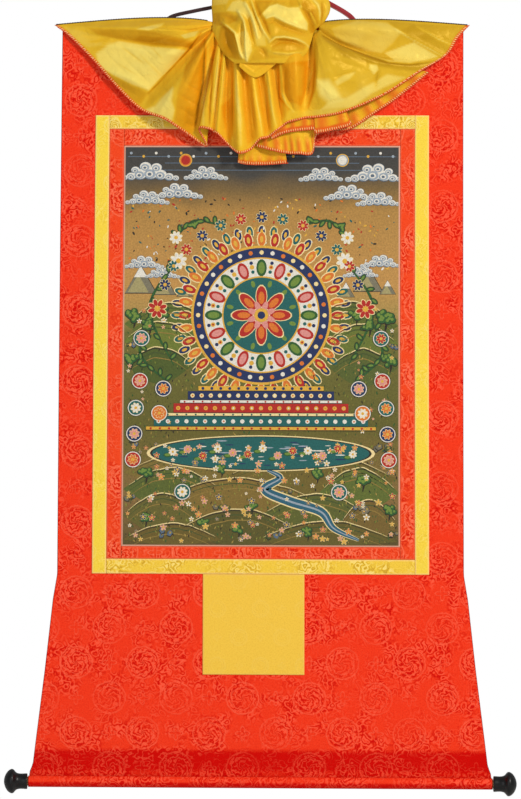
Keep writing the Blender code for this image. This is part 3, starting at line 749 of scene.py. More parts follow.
HOOD_FACETS = with_box([
    # (x, z) of each corner, then softness and tone, which paints a highlight below 0 and shade above 0
    (((-56, -74), (-47, -60), (-36, -57), (-24, -65), (-18, -80), (-24, -89), (-33, -80), (-41, -76)),
     2.0, -0.7),
    (((-42, -112), (-32, -106), (-23, -110), (-18, -126), (-17, -137), (-24, -153), (-35, -146)), 2.0, -0.7),
    (((-18, -70), (-8, -96), (3, -116), (5, -130), (-10, -131), (-14, -112), (-19, -88)), 2.2, -0.45),
    (((-2, -80), (10, -68), (22, -65), (39, -71), (55, -70), (62, -83), (69, -94), (68, -104), (55, -101),
      (33, -93), (15, -84), (5, -88)), 1.6, -0.9),
    (((-15, -58), (13, -59), (8, -68), (-1, -79), (-8, -85), (-13, -70)), 2.0, 0.5),
    (((-65, -99), (-60, -97), (-46, -112), (-42, -131), (-37, -144), (-35, -151), (-56, -146), (-65, -138),
      (-69, -119)), 1.6, 0.6),
    (((-77, -76), (-53, -76), (-38, -84), (-40, -90), (-51, -95), (-71, -97), (-79, -90)), 2.0, 0.55),
    (((13, -130), (22, -124), (45, -122), (66, -130), (62, -137), (39, -140), (13, -139)), 2.0, 0.5),
    (((-13, -137), (5, -131), (8, -143), (33, -147), (6, -150), (-20, -153)), 2.0, 0.35),
    (((60, -58), (69, -56), (85, -72), (86, -93), (81, -108), (72, -108), (69, -90), (60, -72)), 2.0, 0.6),
    (((40, -56), (58, -56), (60, -66), (42, -68)), 2.0, 0.4),
    (((5, -92), (17, -90), (33, -99), (55, -106), (69, -108), (68, -114), (39, -113), (13, -114)), 3.0, 0.15),
    (((-77, -54), (-51, -54), (-56, -63), (-77, -65)), 1.5, -0.4),
])
HOOD_LINES = with_reach([
    # (x, z) of each bend, then width and tone, which paints a highlight below 0 and shade above 0
    (((-65, -95), (-54, -103), (-45, -112), (-41, -126), (-38, -138)), 1.3, 1.6),
    (((-62, -92), (-53, -100), (-43, -109), (-39, -124), (-36, -137), (-31, -148)), 1.2, -1.2),
    (((-38, -76), (-30, -90), (-27, -108), (-27, -131), (-25, -153)), 1.6, -1.2),
    (((-28, -61), (-19, -79), (-13, -97), (-8, -117)), 1.6, -1.0),
    (((-18, -58), (-10, -83), (-1, -104), (9, -120)), 1.6, -1.0),
    (((12, -127), (20, -120), (32, -119), (51, -122), (66, -128)), 1.3, 1.5),
    (((10, -124), (19, -117), (32, -116), (51, -119), (63, -124), (71, -130)), 1.3, -0.9),
    (((-1, -81), (4, -92), (8, -106), (13, -116)), 1.4, 0.9),
    (((56, -60), (62, -70), (75, -77), (82, -92)), 1.3, 1.4),
    (((54, -54), (59, -68), (72, -75), (80, -90), (85, -106)), 1.4, -0.8),
    (((75, -54), (85, -65), (88, -77), (88, -94)), 1.4, -0.8),
    (((90, -60), (91, -78), (88, -98)), 1.3, 1.3),
    (((-22, -61), (-14, -79), (-8, -97)), 1.4, 0.9),
    (((-31, -88), (-29, -106), (-30, -130), (-28, -146)), 1.2, 0.9),
])
FRONT_FACETS = with_box([
    # (x, z) of each corner, then softness and tone, which paints a highlight below 0 and shade above 0: the
    # left wing,
    (((-271, -99), (-209, -101), (-173, -104), (-109, -120), (-111, -130), (-164, -127), (-218, -117),
      (-255, -109)), 2.5, 0.55),
    (((-190, -111), (-150, -115), (-108, -124), (-110, -131), (-150, -126), (-200, -119)), 2.5, 0.3),
    (((-312, -94), (-232, -89), (-152, -86), (-107, -89), (-118, -96), (-173, -97), (-243, -98)), 2.0, 0.2),
    (((-196, -102), (-173, -95), (-152, -91), (-156, -97), (-177, -104)), 1.6, -0.6),
    (((-127, -111), (-98, -103), (-105, -113), (-121, -117)), 1.6, -0.6),
    (((-223, -119), (-168, -129), (-118, -134), (-132, -152), (-177, -195), (-200, -187), (-232, -172),
      (-255, -158), (-258, -138), (-239, -125)), 2.5, -0.75),
    (((-307, -97), (-255, -110), (-225, -117), (-237, -124), (-271, -129), (-293, -115)), 3.0, -0.25),
    (((-248, -163), (-205, -187), (-179, -199), (-189, -218), (-209, -207), (-232, -182)), 3.0, 0.5),
    (((-139, -191), (-141, -213), (-136, -227), (-141, -245), (-159, -236), (-186, -227), (-166, -220),
      (-150, -202)), 3.0, -0.75),
    (((-116, -141), (-127, -172), (-136, -191), (-150, -200), (-182, -223), (-176, -202), (-146, -170)),
     2.5, 0.25),
    (((-86, -109), (-89, -168), (-102, -248), (-111, -266), (-137, -243), (-132, -200), (-118, -157)),
     2.5, 0.5),
    (((-118, -223), (-105, -227), (-107, -250), (-121, -248)), 4.0, 0.35),
    # the right wing,
    (((105, -100), (146, -87), (192, -91), (214, -105), (201, -122), (183, -138), (158, -135), (112, -115)),
     3.0, -0.4),
    (((192, -88), (237, -92), (312, -95), (301, -122), (283, -141), (233, -119), (205, -100)), 2.0, 0.3),
    (((188, -138), (233, -121), (271, -143), (260, -146), (226, -152), (203, -150)), 1.6, -0.75),
    (((233, -93), (271, -116), (230, -118), (212, -103)), 2.0, 0.2),
    (((92, -116), (128, -133), (164, -146), (203, -158), (258, -155), (237, -166), (205, -164), (164, -156),
      (124, -146)), 3.0, 0.5),
    (((164, -156), (176, -157), (178, -166), (171, -172), (164, -163)), 2.0, -0.7),
    (((83, -182), (101, -182), (112, -195), (121, -211), (101, -215), (87, -204)), 6.0, -0.8),
    (((110, -184), (124, -174), (141, -170), (133, -180), (114, -190)), 2.5, -0.5),
    (((90, -226), (137, -223), (169, -200), (220, -176), (192, -172), (155, -193), (130, -208), (100, -216)),
     3.0, -0.55),
    # and the pleats.
    (((-65, -221), (-49, -207), (-49, -281), (-56, -269)), 3.0, 0.5),
    (((-34, -150), (-19, -150), (-10, -221), (-7, -269), (-24, -281), (-30, -236)), 3.0, 0.4),
    (((-13, -150), (0, -150), (12, -236), (13, -257), (2, -266), (-6, -221)), 3.0, 0.4),
    (((29, -158), (73, -150), (72, -186), (58, -221), (39, -214), (30, -192)), 2.5, 0.5),
    (((48, -160), (62, -160), (60, -205), (52, -205)), 4.0, -0.3),
    (((40, -228), (80, -226), (120, -226), (100, -238), (50, -240), (28, -246)), 3.0, -0.3),
])
# Narrow lines where the silk catches the light or turns under, with heights as tones: below 0 is paler.
FRONT_LINES = with_reach([
    (((-96, -108), (-116, -134), (-148, -168), (-177, -200)), 1.4, 2.4),
    (((-99, -108), (-119, -134), (-151, -168), (-180, -199)), 1.4, -0.5),
    (((89, -108), (124, -125), (158, -139), (194, -151), (226, -153), (260, -148), (283, -144)), 1.6, -0.7),
    (((92, -113), (124, -129), (158, -143), (194, -155), (226, -157), (262, -152)), 1.5, 1.8),
    (((204, -100), (230, -116), (280, -143)), 1.3, -1.1),
    (((238, -97), (271, -116), (294, -125)), 1.3, -1.1),
    (((177, -166), (175, -179), (174, -193)), 2.0, 0.7),
    (((-239, -115), (-271, -122)), 1.2, 0.5), (((-239, -115), (-248, -124)), 1.2, 0.5),
    (((-218, -129), (-184, -154)), 1.2, 0.5), (((-173, -129), (-157, -146)), 1.2, 0.5),
    (((-190, -141), (-157, -174)), 1.2, 0.4), (((-222, -155), (-196, -172)), 1.2, 0.4),
    (((-85, -130), (-86, -184), (-92, -214), (-92, -251)), 2.6, -1.0),
    (((-68, -130), (-72, -192), (-74, -221), (-73, -257)), 3.0, -1.0),
    (((-58, -140), (-62, -192), (-65, -221)), 2.0, -0.7),
    (((-53, -181), (-51, -218)), 2.0, -0.5),
    (((-44, -150), (-40, -207), (-36, -236), (-34, -281)), 3.4, -1.0),
    (((-18, -160), (-10, -214), (-4, -244), (-1, -269)), 2.2, -1.0),
    (((3, -150), (10, -207), (16, -236), (21, -254)), 2.4, -0.8),
    (((27, -150), (28, -199), (36, -218), (47, -229)), 1.8, -1.0),
    (((74, -170), (61, -221)), 1.6, -0.8),
    (((76, -122), (76, -168), (73, -200), (64, -223)), 1.8, -0.6),
    (((-90, -120), (-92, -184), (-101, -221), (-104, -248)), 1.8, 2.0),
    (((-77, -130), (-79, -192), (-82, -221), (-82, -250)), 1.6, 1.5),
    (((-47, -150), (-47, -221), (-47, -266)), 1.6, 1.5),
    (((24, -150), (25, -207), (39, -226)), 1.6, 1.4),
    (((80, -125), (80, -168), (77, -200), (70, -222)), 1.6, 1.4),
])
TAB_FOLDS = with_reach([
    (((-30, -159), (-13, -171), (6, -160)), 1.4, 1.0),
    (((-26, -159), (-13, -167), (0, -160)), 1.4, -1.0),
])
FRONT_FOLDS = with_reach([
    # (x, z) of each bend, then width and height: the left wing,
    (((-79, -104), (-112, -132), (-150, -170), (-186, -215)), 4.0, -2.6),
    (((-78, -113), (-107, -141), (-141, -178), (-172, -222)), 7.0, 2.6),
    (((-290, -98), (-206, -101), (-150, -103), (-95, -106)), 6.5, 3.6),
    (((-276, -110), (-206, -118), (-160, -123), (-110, -131)), 6.0, -3.6),
    (((-268, -124), (-198, -131), (-135, -141)), 6.5, 2.4),
    (((-160, -99), (-125, -103), (-96, -104)), 2.6, -2.2),
    (((-190, -96), (-150, -99)), 2.6, -1.4),
    (((-219, -126), (-184, -157)), 2.2, -0.9),
    (((-194, -124), (-166, -147)), 2.0, -0.8),
    (((-215, -147), (-178, -183)), 2.2, -0.9),
    (((-240, -141), (-206, -175)), 2.2, -0.7),
    (((-175, -150), (-157, -169)), 1.9, -0.7),
    (((-271, -129), (-250, -119)), 3.1, -1.2),
    (((-240, -164), (-206, -178), (-172, -197)), 7.8, 2.4),
    (((-234, -181), (-191, -206)), 9.3, -2.2),
    (((-132, -172), (-144, -203), (-160, -232)), 9.3, 3.0),
    (((-122, -184), (-99, -198)), 2.8, -1.0),
    (((-129, -203), (-101, -219)), 3.1, -1.2),
    (((-130, -222), (-105, -240)), 3.1, -1.0),
    (((-119, -147), (-122, -184)), 6.2, -1.4),
    # the right wing,
    (((85, -104), (99, -116), (124, -127), (175, -144), (240, -150), (282, -144)), 4.0, -2.8),
    (((88, -98), (124, -119), (175, -136), (236, -141)), 6.2, 1.8),
    (((127, -136), (175, -155), (240, -160)), 5.4, 1.6),
    (((206, -102), (243, -121), (281, -141)), 2.6, 1.8),
    (((246, -98), (274, -116)), 2.6, 1.5),
    (((188, -136), (212, -126), (237, -116)), 3.1, 1.5),
    (((150, -98), (188, -110)), 3.9, -1.2),
    (((76, -116), (74, -135), (78, -167), (71, -191), (59, -225)), 3.7, -3.0),
    (((85, -126), (85, -169), (81, -197), (70, -228)), 5.9, 2.2),
    (((177, -160), (172, -191)), 3.7, -2.6),
    (((110, -177), (138, -169)), 2.8, -1.2),
    (((85, -184), (104, -205), (129, -209)), 10.8, 2.6),
    (((150, -184), (163, -205)), 9.3, 2.2),
    (((104, -150), (153, -163)), 7.8, -1.6),
    # and the pleats.
    (((-91, -147), (-96, -202), (-105, -251)), 2.8, -3.0),
    (((-73, -150), (-81, -202), (-84, -248)), 2.8, -2.0),
    (((-56, -153), (-57, -194), (-59, -240)), 2.8, -2.0),
    (((-46, -157), (-50, -209), (-50, -264)), 1.9, -1.2),
    (((-20, -181), (-17, -217), (-14, -256)), 2.3, -2.0),
    (((5, -175), (6, -217), (8, -256)), 2.2, -2.0),
    (((22, -169), (25, -209), (28, -246)), 2.5, -2.2),
    (((34, -166), (34, -202), (48, -228)), 3.1, -2.4),
    (((67, -166), (65, -197), (56, -225)), 2.8, -1.6),
])


def fan_place(ribs, folds, crinkle):
    """A function of (u, v) over a fan of ribs, from the gather at v 0 to the hem at v 1."""
    def place(u, v):
        values = smooth_row(ribs, u * (len(ribs) - 1))
        gather_x, gather_out, gather_z, hem_x, hem_out, hem_z, belly, rise, _tone = values
        swell = math.sin(math.pi * v ** SWELL_EARLY)
        out = hem_out + (gather_out - hem_out) * (1 - v) ** SEAT_POWER + belly * max(0.0, swell) ** 0.8
        x = gather_x + (hem_x - gather_x) * v
        z = gather_z + (hem_z - gather_z) * v + rise * swell
        free = blend(0.0, 0.015, min(u, 1 - u))
        pinch = crinkle * v * (1 - v) ** 1.5 * 4
        out += free * pinch * noise.noise(Vector((u * 90, v * 2.5, 5.2)))
        out += free * crinkle * 0.4 * v * noise.noise(Vector((x / 22, z / 22, 1.7)))
        out += free * FOLD_HEIGHT * fold_relief(folds, x, z)
        return x, out, z
    return place


def puckers(u, v, count, start):
    """The small puckers along a gathered hem, from -1 to 1: this many across, from start on down."""
    wander = 1.5 * noise.noise(Vector((u * 9, v * 3, 5.1)))
    return math.sin(2 * math.pi * count * u + wander) * blend(start, start + 0.12, v)


def fan_shades(ribs, folds, place, length, hem_width, count, start):
    """Tone, hem share and glow over a fan of ribs of about this length in mm: painted shade makes the silk
    deeper in its folds and towards the gather, the facet and line tables add painted highlights and shadows,
    and a painted glow lies on the doubled cloth."""
    is_front = ribs is FRONT_RIBS

    def shades(u, v):
        x, _out, z = place(u, v)
        tone = 0.6 * smooth_row(ribs, u * (len(ribs) - 1))[-1] - 0.06 * fold_relief(folds, x, z)
        glow = 1.0
        if is_front:
            tone += 1.15 * facet_tone(FRONT_FACETS, x, z) + 0.9 * fold_relief(FRONT_LINES, x, z)
            # Painted glow: the pleats hang double, and so does the left wing's part beside them.
            glow = (0.35 + 0.65 * blend(-165, -90, x)) * (1 - blend(68, 88, x))
        near = blend(1 - hem_width / length, 1 - 0.8 * hem_width / length, v) if hem_width else 0.0
        if count:
            near = max(near, 0.4 * blend(start, start + 0.12, v) + 0.4 * puckers(u, v, count, start))
        elif is_front and 112 < x < 226 and v * length < 5:
            # A thin strip of the cloth behind shows along this part of the top edge.
            near = 0.55
        return clamp(tone + 0.3 * (1 - v) ** 3, -1.0, 2.0), near, glow
    return shades


def hood_place(u, v):
    """A point of the hood: u goes from its left to its right edge, v from the gather over the front and
    back under it."""
    position = v * (len(HOOD_STATIONS) - 1)
    z, left, right, out_middle, out_edge = smooth_row(HOOD_STATIONS, position)
    across = 2 * u - 1
    x = (left + right) / 2 + across * (right - left) / 2
    arch = 1 - abs(across) ** 3
    free = clamp(position - HOOD_FRONT) * clamp(len(HOOD_STATIONS) - 2.5 - position) * arch ** 0.5
    fine = 1.4 * noise.noise(Vector((x / 16, z / 30, 4.4))) + 0.7 * noise.noise(Vector((x / 7, z / 11, 9.4)))
    relief = 1.1 * fold_relief(HOOD_FOLDS, x, z) + fine
    return x, out_edge + (out_middle - out_edge) * arch + free * relief, z


def sew_hem(name, ribs, place, length, material):
    """Overlock stitches across the front of a hem, 3.6 mm apart, and the thread that runs along its edge."""
    dice = random.Random(len(ribs))
    bm = bmesh.new()
    bm.verts.layers.float.new("tone")
    reach = HEM_WIDTH / length
    half_pitch = STITCH_PITCH * 0.5
    lift = Vector((0, 0.65, 0))
    steps = 2400
    walked, last, last_stitch = 0.0, None, 0.0
    for step in range(steps + 1):
        u = 0.004 + 0.992 * step / steps
        x, out, z = place(u, 1.0)
        here = Vector((x, out, z))
        walked += (here - last).length if last else 0.0
        last = here
        if walked - last_stitch < half_pitch:
            continue
        last_stitch += half_pitch
        is_across = round(last_stitch / half_pitch) % 2
        inner = Vector(place(clamp(u + dice.uniform(-0.0008, 0.0008)), 1 - reach * dice.uniform(0.75, 1.0)))
        ahead = Vector(place(clamp(u + 0.002), 1.0)) - here
        if is_across:
            place_stitch(bm, here + (here - inner).normalized() * 0.2 + lift, inner + lift, 0.75, 0.0)
        else:
            # A loop of the thread along the very edge.
            place_stitch(bm, here + lift, here + ahead.normalized() * STITCH_PITCH + lift, 0.9, 1.0)
    return finished(name, bm, material, "veil_silk")


def place_stitch(bm, start, end, thick, tone):
    """One stitch of thread between two places, in mm, as a slim rounded bead. tone picks its colour."""
    layer = bm.verts.layers.float["tone"]
    stitch = bmesh.ops.create_uvsphere(bm, u_segments=6, v_segments=5, radius=1.0)
    run = end - start
    run = Vector((run.x, -run.y, run.z))
    middle = (start + end) / 2
    turn = run.to_track_quat("Z", "Y")
    for vert in stitch["verts"]:
        shaped = turn @ Vector((vert.co.x * thick, vert.co.y * thick, vert.co.z * run.length * 0.54))
        vert.co = to_world(middle.x, middle.y, middle.z) + shaped * MM
        vert[layer] = tone


# The middle (x, out, z) of the bunched silk and how far it reaches from there.
GATHER_MIDDLE = (2, 15, -109)
GATHER_REACH = (87, 8, 14)


def make_gather(material):
    """The bunched silk behind the hood, which shows as a knot on each side of it."""
    bm = bmesh.new()
    tone = bm.verts.layers.float.new("tone")
    bmesh.ops.create_uvsphere(bm, u_segments=64, v_segments=64, radius=1.0)
    for vert in bm.verts:
        across, front, up = math.copysign(abs(vert.co.x) ** 0.5, vert.co.x), -vert.co.y, vert.co.z
        pleat = 1 + 0.1 * math.sin(14 * math.atan2(up, front))
        slope = 3 * (1 - across * across)
        vert.co = to_world(GATHER_MIDDLE[0] + GATHER_REACH[0] * across,
                           GATHER_MIDDLE[1] + GATHER_REACH[1] * front * pleat,
                           GATHER_MIDDLE[2] - slope + GATHER_REACH[2] * up * pleat)
        # Painted shade: the bunched silk behind the hood is painted in the silk's deeper fold colour.
        vert[tone] = 0.75
    return finished("veil_gather", bm, material, "veil_silk")


def whip_edge(name, place, length, material):
    """Dark stitches along the veil's two upper edges."""
    bm = bmesh.new()
    bm.verts.layers.float.new("tone")
    count = round(length / 4)
    lift = Vector((0, 0.4, 0.6))
    for side in (0.0, 1.0):
        for step in range(count):
            start, end = (Vector(place(side, 0.04 + 0.95 * (step + share) / count)) for share in (-0.1, 1.1))
            place_stitch(bm, start + lift, end + lift, 1.0, step % 2)
    return finished(name, bm, material, "veil_silk")


def make_veil(material, thread, dark_thread):
    """The lifted silk veil: front fan, the tiers under it, the hood over the gather, and its small tab."""
    sheets = (
        # name, ribs, folds, columns, rows, flat width and length in mm, crinkle, share of the flat that is
        # cut, hem width, puckers across its hem and the share of its length where they start
        ("veil_front", FRONT_RIBS, FRONT_FOLDS, 430, 108, (900, 230), 1.8, 0.62, HEM_WIDTH, 0, 0),
        ("veil_turned_hem", TURNED_HEM_RIBS, [], 90, 50, (190, 150), 2.4, 0.5, 1.6 * HEM_WIDTH, 9, 0.72),
        ("veil_second_tier", SECOND_TIER_RIBS, [], 160, 60, (430, 190), 1.4, 0.5, HEM_WIDTH, 17, 0.8),
        ("veil_lowest_tier", LOWEST_TIER_RIBS, [], 80, 50, (95, 190), 1.4, 0.62, HEM_WIDTH, 6, 0.88),
        ("veil_hood_tab", TAB_RIBS, TAB_FOLDS, 40, 30, (62, 48), 0.6, 0.8, 0, 0, 0),
    )
    for name, ribs, folds, columns, rows, size, crinkle, share, hem_width, count, start in sheets:
        flat_place = fan_place(ribs, folds, crinkle)

        def place(u, v):
            x, out, z = flat_place(u, v)
            return x, out + (0.7 * puckers(u, v, count, start) if count else 0.0), z

        bm = sheet_mesh(columns, rows, place, size,
                        fan_shades(ribs, folds, place, size[1], hem_width, count, start))
        replaced = ["veil"] if name == "veil_front" else []
        piece = finished(name, bm, material, "veil_silk", *replaced)
        thicken(piece, SILK_THICKNESS)
        if hem_width:
            sew_hem(name + "_overlock", ribs, place, size[1], thread)
        if name == "veil_front":
            whip_edge(name + "_top_thread", place, TOP_EDGE_LENGTH, dark_thread)
    bm = sheet_mesh(150, 170, hood_place, HOOD_FLAT, lambda u, v: hood_shades(*hood_place(u, v)))
    hood = finished("veil_hood", bm, material, "veil_silk")
    thicken(hood, SILK_THICKNESS)
    make_gather(material)


def hood_shades(x, _out, z):
    """The hood's tone, hem share and glow: painted shade where it folds in, painted highlights and shadows
    from its facets and lines, and some painted glow all over.
    """
    tone = (0.1 - 0.09 * fold_relief(HOOD_FOLDS, x, z) + facet_tone(HOOD_FACETS, x, z)
            + 0.8 * fold_relief(HOOD_LINES, x, z))
    return clamp(tone, -1.0, 2.0), 0.0, 0.45


KNOB_PROFILE = [
    # (along, radius)
    (0.0, 11.2), (0.3, 11.9), (1.0, 12.2), (3.0, 12.15), (6.0, 11.9), (9.0, 11.8), (12.0, 11.9), (15.5, 12.6),
    (17.0, 13.5), (18.5, 14.8), (19.8, 16.4), (20.8, 17.5), (21.6, 18.2), (22.6, 18.7), (24.0, 18.9),
    (25.2, 18.7), (26.8, 18.0), (28.4, 17.0), (29.8, 15.8), (31.2, 14.2), (32.5, 12.4), (33.6, 10.4),
    (34.6, 8.2), (35.4, 5.6), (36.0, 2.8),
]
KNOB_LENGTH = 36.2
SOCKET_DEPTH = 14.0


def make_knobs(material):
    """Two turned knobs, spun about the rod's axis."""
    socket = ROD_RADIUS + GAP
    bore = [(SOCKET_DEPTH, 0.0), (SOCKET_DEPTH, socket), (0.0, socket)]
    profile = bore + KNOB_PROFILE + [(KNOB_LENGTH, 0.0)]
    middle_x, middle_z = hung(0, ROD_Z)
    for side, name in ((-1, "knob_left"), (1, "knob_right")):
        bm = bmesh.new()
        verts = [bm.verts.new((side * along, 0.0, radius)) for along, radius in profile]
        edges = [bm.edges.new(pair) for pair in zip(verts, verts[1:])]
        bmesh.ops.spin(bm, geom=verts + edges, cent=(0, 0, 0), axis=(1, 0, 0), angle=2 * math.pi, steps=72,
                       use_merge=True)
        bmesh.ops.remove_doubles(bm, verts=bm.verts, dist=0.01)
        bmesh.ops.recalc_face_normals(bm, faces=bm.faces)
        for vert in bm.verts:
            x, y, z = vert.co
            along = side * KNOB_INNER_X + x
            vert.co = to_world(middle_x + along + TILT * z, ROD_OUT - y, middle_z + z - TILT * along)
        finished(name + "_turned", bm, material, "knob_black", name)


CORD_ROUTE = [
    # (x, out, z)
    (-157.0, -10.9, -119.0), (-157.0, -10.9, -108.0), (-156.0, -10.9, -97.0), (-150.5, -10.0, -86.0),
    (-138.0, -9.0, -78.0), (-105.0, -8.0, -70.5), (-67.0, -6.5, -62.5), (-48.0, -5.0, -54.0),
    (-34.0, -4.0, -41.5), (-24.0, -2.5, -27.0), (-16.5, -1.0, -13.5), (-10.4, -0.3, -3.5),
    (-6.0, 0.0, 0.9), (0.0, 0.0, 2.5), (6.0, 0.0, 0.9), (17.0, -0.5, -6.5), (35.0, -2.0, -18.5),
    (60.0, -4.5, -34.0), (93.0, -7.0, -54.0), (125.0, -9.0, -72.0), (139.0, -10.0, -83.0),
    (146.0, -10.9, -96.0), (147.0, -10.9, -108.0), (147.0, -10.9, -119.0),
]
CORD_WIDTH = 8.0
CORD_THICK = 2.4


def make_cord(material):
    """The flat woven hanging cord, sewn behind the top sleeve at both ends and turned as it rises."""
    steps, sides = 150, 16
    path = [Vector(smooth_row(CORD_ROUTE, (len(CORD_ROUTE) - 1) * step / steps)) for step in range(steps + 1)]
    lengths = [0.0]
    for start, end in zip(path, path[1:]):
        lengths.append(lengths[-1] + (end - start).length)
    bm = bmesh.new()
    flat = bm.loops.layers.uv.new("flat")
    tone = bm.verts.layers.float.new("tone")
    bmesh.ops.create_grid(bm, x_segments=sides, y_segments=steps, size=0.5)
    for face in bm.faces:
        for loop in face.loops:
            u, v = loop.vert.co.x + 0.5, loop.vert.co.y + 0.5
            loop[flat].uv = (u * 2 * CORD_WIDTH * MM, lengths[round(v * steps)] * MM)
    for vert in bm.verts:
        u, step = vert.co.x + 0.5, round((vert.co.y + 0.5) * steps)
        run = (path[min(steps, step + 1)] - path[max(0, step - 1)]).normalized()
        side = run.cross(Vector((0, 1, 0))).normalized()
        front = side.cross(run)
        turned = blend(0.45, 0.7, step / steps)
        lie = math.radians(50) * (1 - turned)
        # The colour goes over from brown to wine red as the cord turns face on.
        vert[tone] = turned
        turn = 2 * math.pi * u
        wide, deep = CORD_WIDTH / 2 * math.cos(turn), CORD_THICK / 2 * math.sin(turn)
        offset = side * (wide * math.cos(lie) - deep * math.sin(lie))
        offset = offset + front * (wide * math.sin(lie) + deep * math.cos(lie))
        vert.co = to_world(*(path[step] + offset))
    bmesh.ops.remove_doubles(bm, verts=bm.verts, dist=0.00001)
    bmesh.ops.holes_fill(bm, edges=[edge for edge in bm.edges if edge.is_boundary], sides=sides + 1)
    bmesh.ops.recalc_face_normals(bm, faces=bm.faces)
    cord = finished("hanging_cord_woven", bm, material, "cord_braid", "hanging_cord")


# Ornament of the painting, in mm right of and up from its middle.
PAINTING_MIDDLE = (FRAMES["painting"][1] + FRAMES["painting"][2]) / 2
GROUND_BANDS = [
    # (share of the height from the top, colour)
    (0.0, "#3E3D3C"), (0.07, "#46433D"), (0.12, "#7D6338"), (0.16, "#AE8342"), (0.34, "#BE8E4C"),
    (0.42, "#A98C4C"), (0.46, "#6E6A30"), (0.7, "#625E27"), (0.76, "#75652F"), (0.88, "#85683A"),
    (1.0, "#5A4C24"),
]
NAVY, TEAL, LEAF, PALE_LEAF, WHITE, MIST = "#22305A", "#1F5F5C", "#2E5A2C", "#6F8A3A", "#E2DDD0", "#98A4AE"
RED, ORANGE, GOLD, PALE_GOLD, PINK, DARK = "#B2281F", "#D8742A", "#DDAA3E", "#EFD79A", "#D98F86", "#2C261F"
SLATE, MOSS, GRASS, STRAW = "#5B6B7C", "#44522A", "#76802F", "#A58C45"
# Spots of one layer lie a little above each other in turn, so that none share a plane where they meet.
PAINT_LIFTS = 37
LAYER_HEIGHT = 0.05
CANVAS_MARGIN = 2.5
# The wheel's middle and its radius.
WHEEL = (0, 48, 108)


def spot(art, a, b, size, colour, layer, sides=18, squash=1.0, turn=0.0):
    """A painted spot: a circle or a shape of few sides, squashed, and turned by turn radians."""
    paint = art.verts.layers.float_color["paint"]
    made = bmesh.ops.create_circle(art, cap_ends=True, cap_tris=True, segments=sides, radius=size)
    lift = layer + 0.8 * (len(art.verts) % PAINT_LIFTS) / PAINT_LIFTS
    for vert in made["verts"]:
        along, up = vert.co.x, vert.co.y * squash
        place_paint(vert, a + along * math.cos(turn) - up * math.sin(turn),
                    b + along * math.sin(turn) + up * math.cos(turn), lift)
        vert[paint] = linear(colour)


def place_paint(vert, a, b, layer):
    """Put a corner of paint on the canvas, in one of its thin layers."""
    half, top, bottom = FRAMES["painting"]
    x, z = hung(clamp(a, CANVAS_MARGIN - half, half - CANVAS_MARGIN),
                clamp(PAINTING_MIDDLE + b, bottom + CANVAS_MARGIN, top - CANVAS_MARGIN))
    vert.co = to_world(x, PANEL_OUT + PANEL_THICKNESS / 2 + LAYER_HEIGHT + LAYER_HEIGHT * layer, z)


def around(a, b, far, turn):
    """The place this far from another one, in the direction turn."""
    return a + far * math.cos(turn), b + far * math.sin(turn)


def stack(art, place, turn, *spots):
    """Spots on top of each other, each with its size, colour, layer, sides and squash."""
    for size, colour, layer, sides, squash in spots:
        spot(art, *place, size, colour, layer, sides, squash, turn)


def band(art, left, right, low, high, colour, layer, steps=1):
    """A painted band between two heights, which may be numbers or functions of a."""
    paint = art.verts.layers.float_color["paint"]
    made = bmesh.ops.create_grid(art, x_segments=steps, y_segments=1, size=0.5)
    for vert in made["verts"]:
        a = left + (right - left) * (vert.co.x + 0.5)
        edge = high if vert.co.y > 0 else low
        place_paint(vert, a, edge(a) if callable(edge) else edge, layer)
        vert[paint] = linear(colour)


def brush_line(art, points, width, colour, layer, steps=24):
    """A brushed line through points (a, b), thin at its two ends."""
    paint = art.verts.layers.float_color["paint"]
    made = bmesh.ops.create_grid(art, x_segments=steps, y_segments=1, size=0.5)
    for vert in made["verts"]:
        share = vert.co.x + 0.5
        position = share * (len(points) - 1)
        a, b = smooth_row(points, position)
        ahead = smooth_row(points, min(len(points) - 1, position + 0.05))
        behind = smooth_row(points, max(0, position - 0.05))
        run = Vector((ahead[0] - behind[0], ahead[1] - behind[1])).normalized()
        half = (width / 2 if vert.co.y > 0 else -width / 2) * (0.25 + 0.75 * math.sin(math.pi * share))
        place_paint(vert, a - run.y * half, b + run.x * half, layer)
        vert[paint] = linear(colour)


def flower(art, a, b, size, petals, colour, layer):
    """An open flower: petals round a gold middle, each with a pale rim."""
    for index in range(petals):
        turn = 2 * math.pi * index / petals + 0.3
        stack(art, around(a, b, size * 0.62, turn), turn, (size * 0.46, PALE_GOLD, layer, 10, 0.62),
              (size * 0.37, colour, layer + 1, 10, 0.58))
    spot(art, a, b, size * 0.3, GOLD, layer + 2, 10)


def cloud(art, a, b, size, layer, flip=1):
    """A scroll cloud: a bank of outlined curls, white above and blue-grey in their hollows."""
    heap = ((0, 0, 1.0), (-1.2, -0.2, 0.8), (1.25, -0.15, 0.85), (-2.2, -0.45, 0.6), (2.3, -0.4, 0.6),
            (0.6, 0.75, 0.75), (-0.7, 0.65, 0.7), (1.8, 0.35, 0.55), (-3.0, -0.6, 0.42), (3.1, -0.55, 0.42))
    # Each ring of a curl: how far right and up it is, and its size, as shares of the curl.
    rings = ((0, 0, 1, SLATE, 16), (0, 0.04, 0.88, WHITE, 16), (-0.08, -0.1, 0.68, MIST, 14),
             (-0.12, -0.12, 0.42, WHITE, 12), (-0.12, -0.14, 0.24, SLATE, 9))
    for off_a, off_b, share in heap:
        curl_a, curl_b, curl = a + flip * off_a * size, b + off_b * size, share * size
        for index, (right, up, ring, colour, sides) in enumerate(rings):
            spot(art, curl_a + right * curl, curl_b + up * curl, curl * ring, colour, layer + index, sides,
                 0.8)


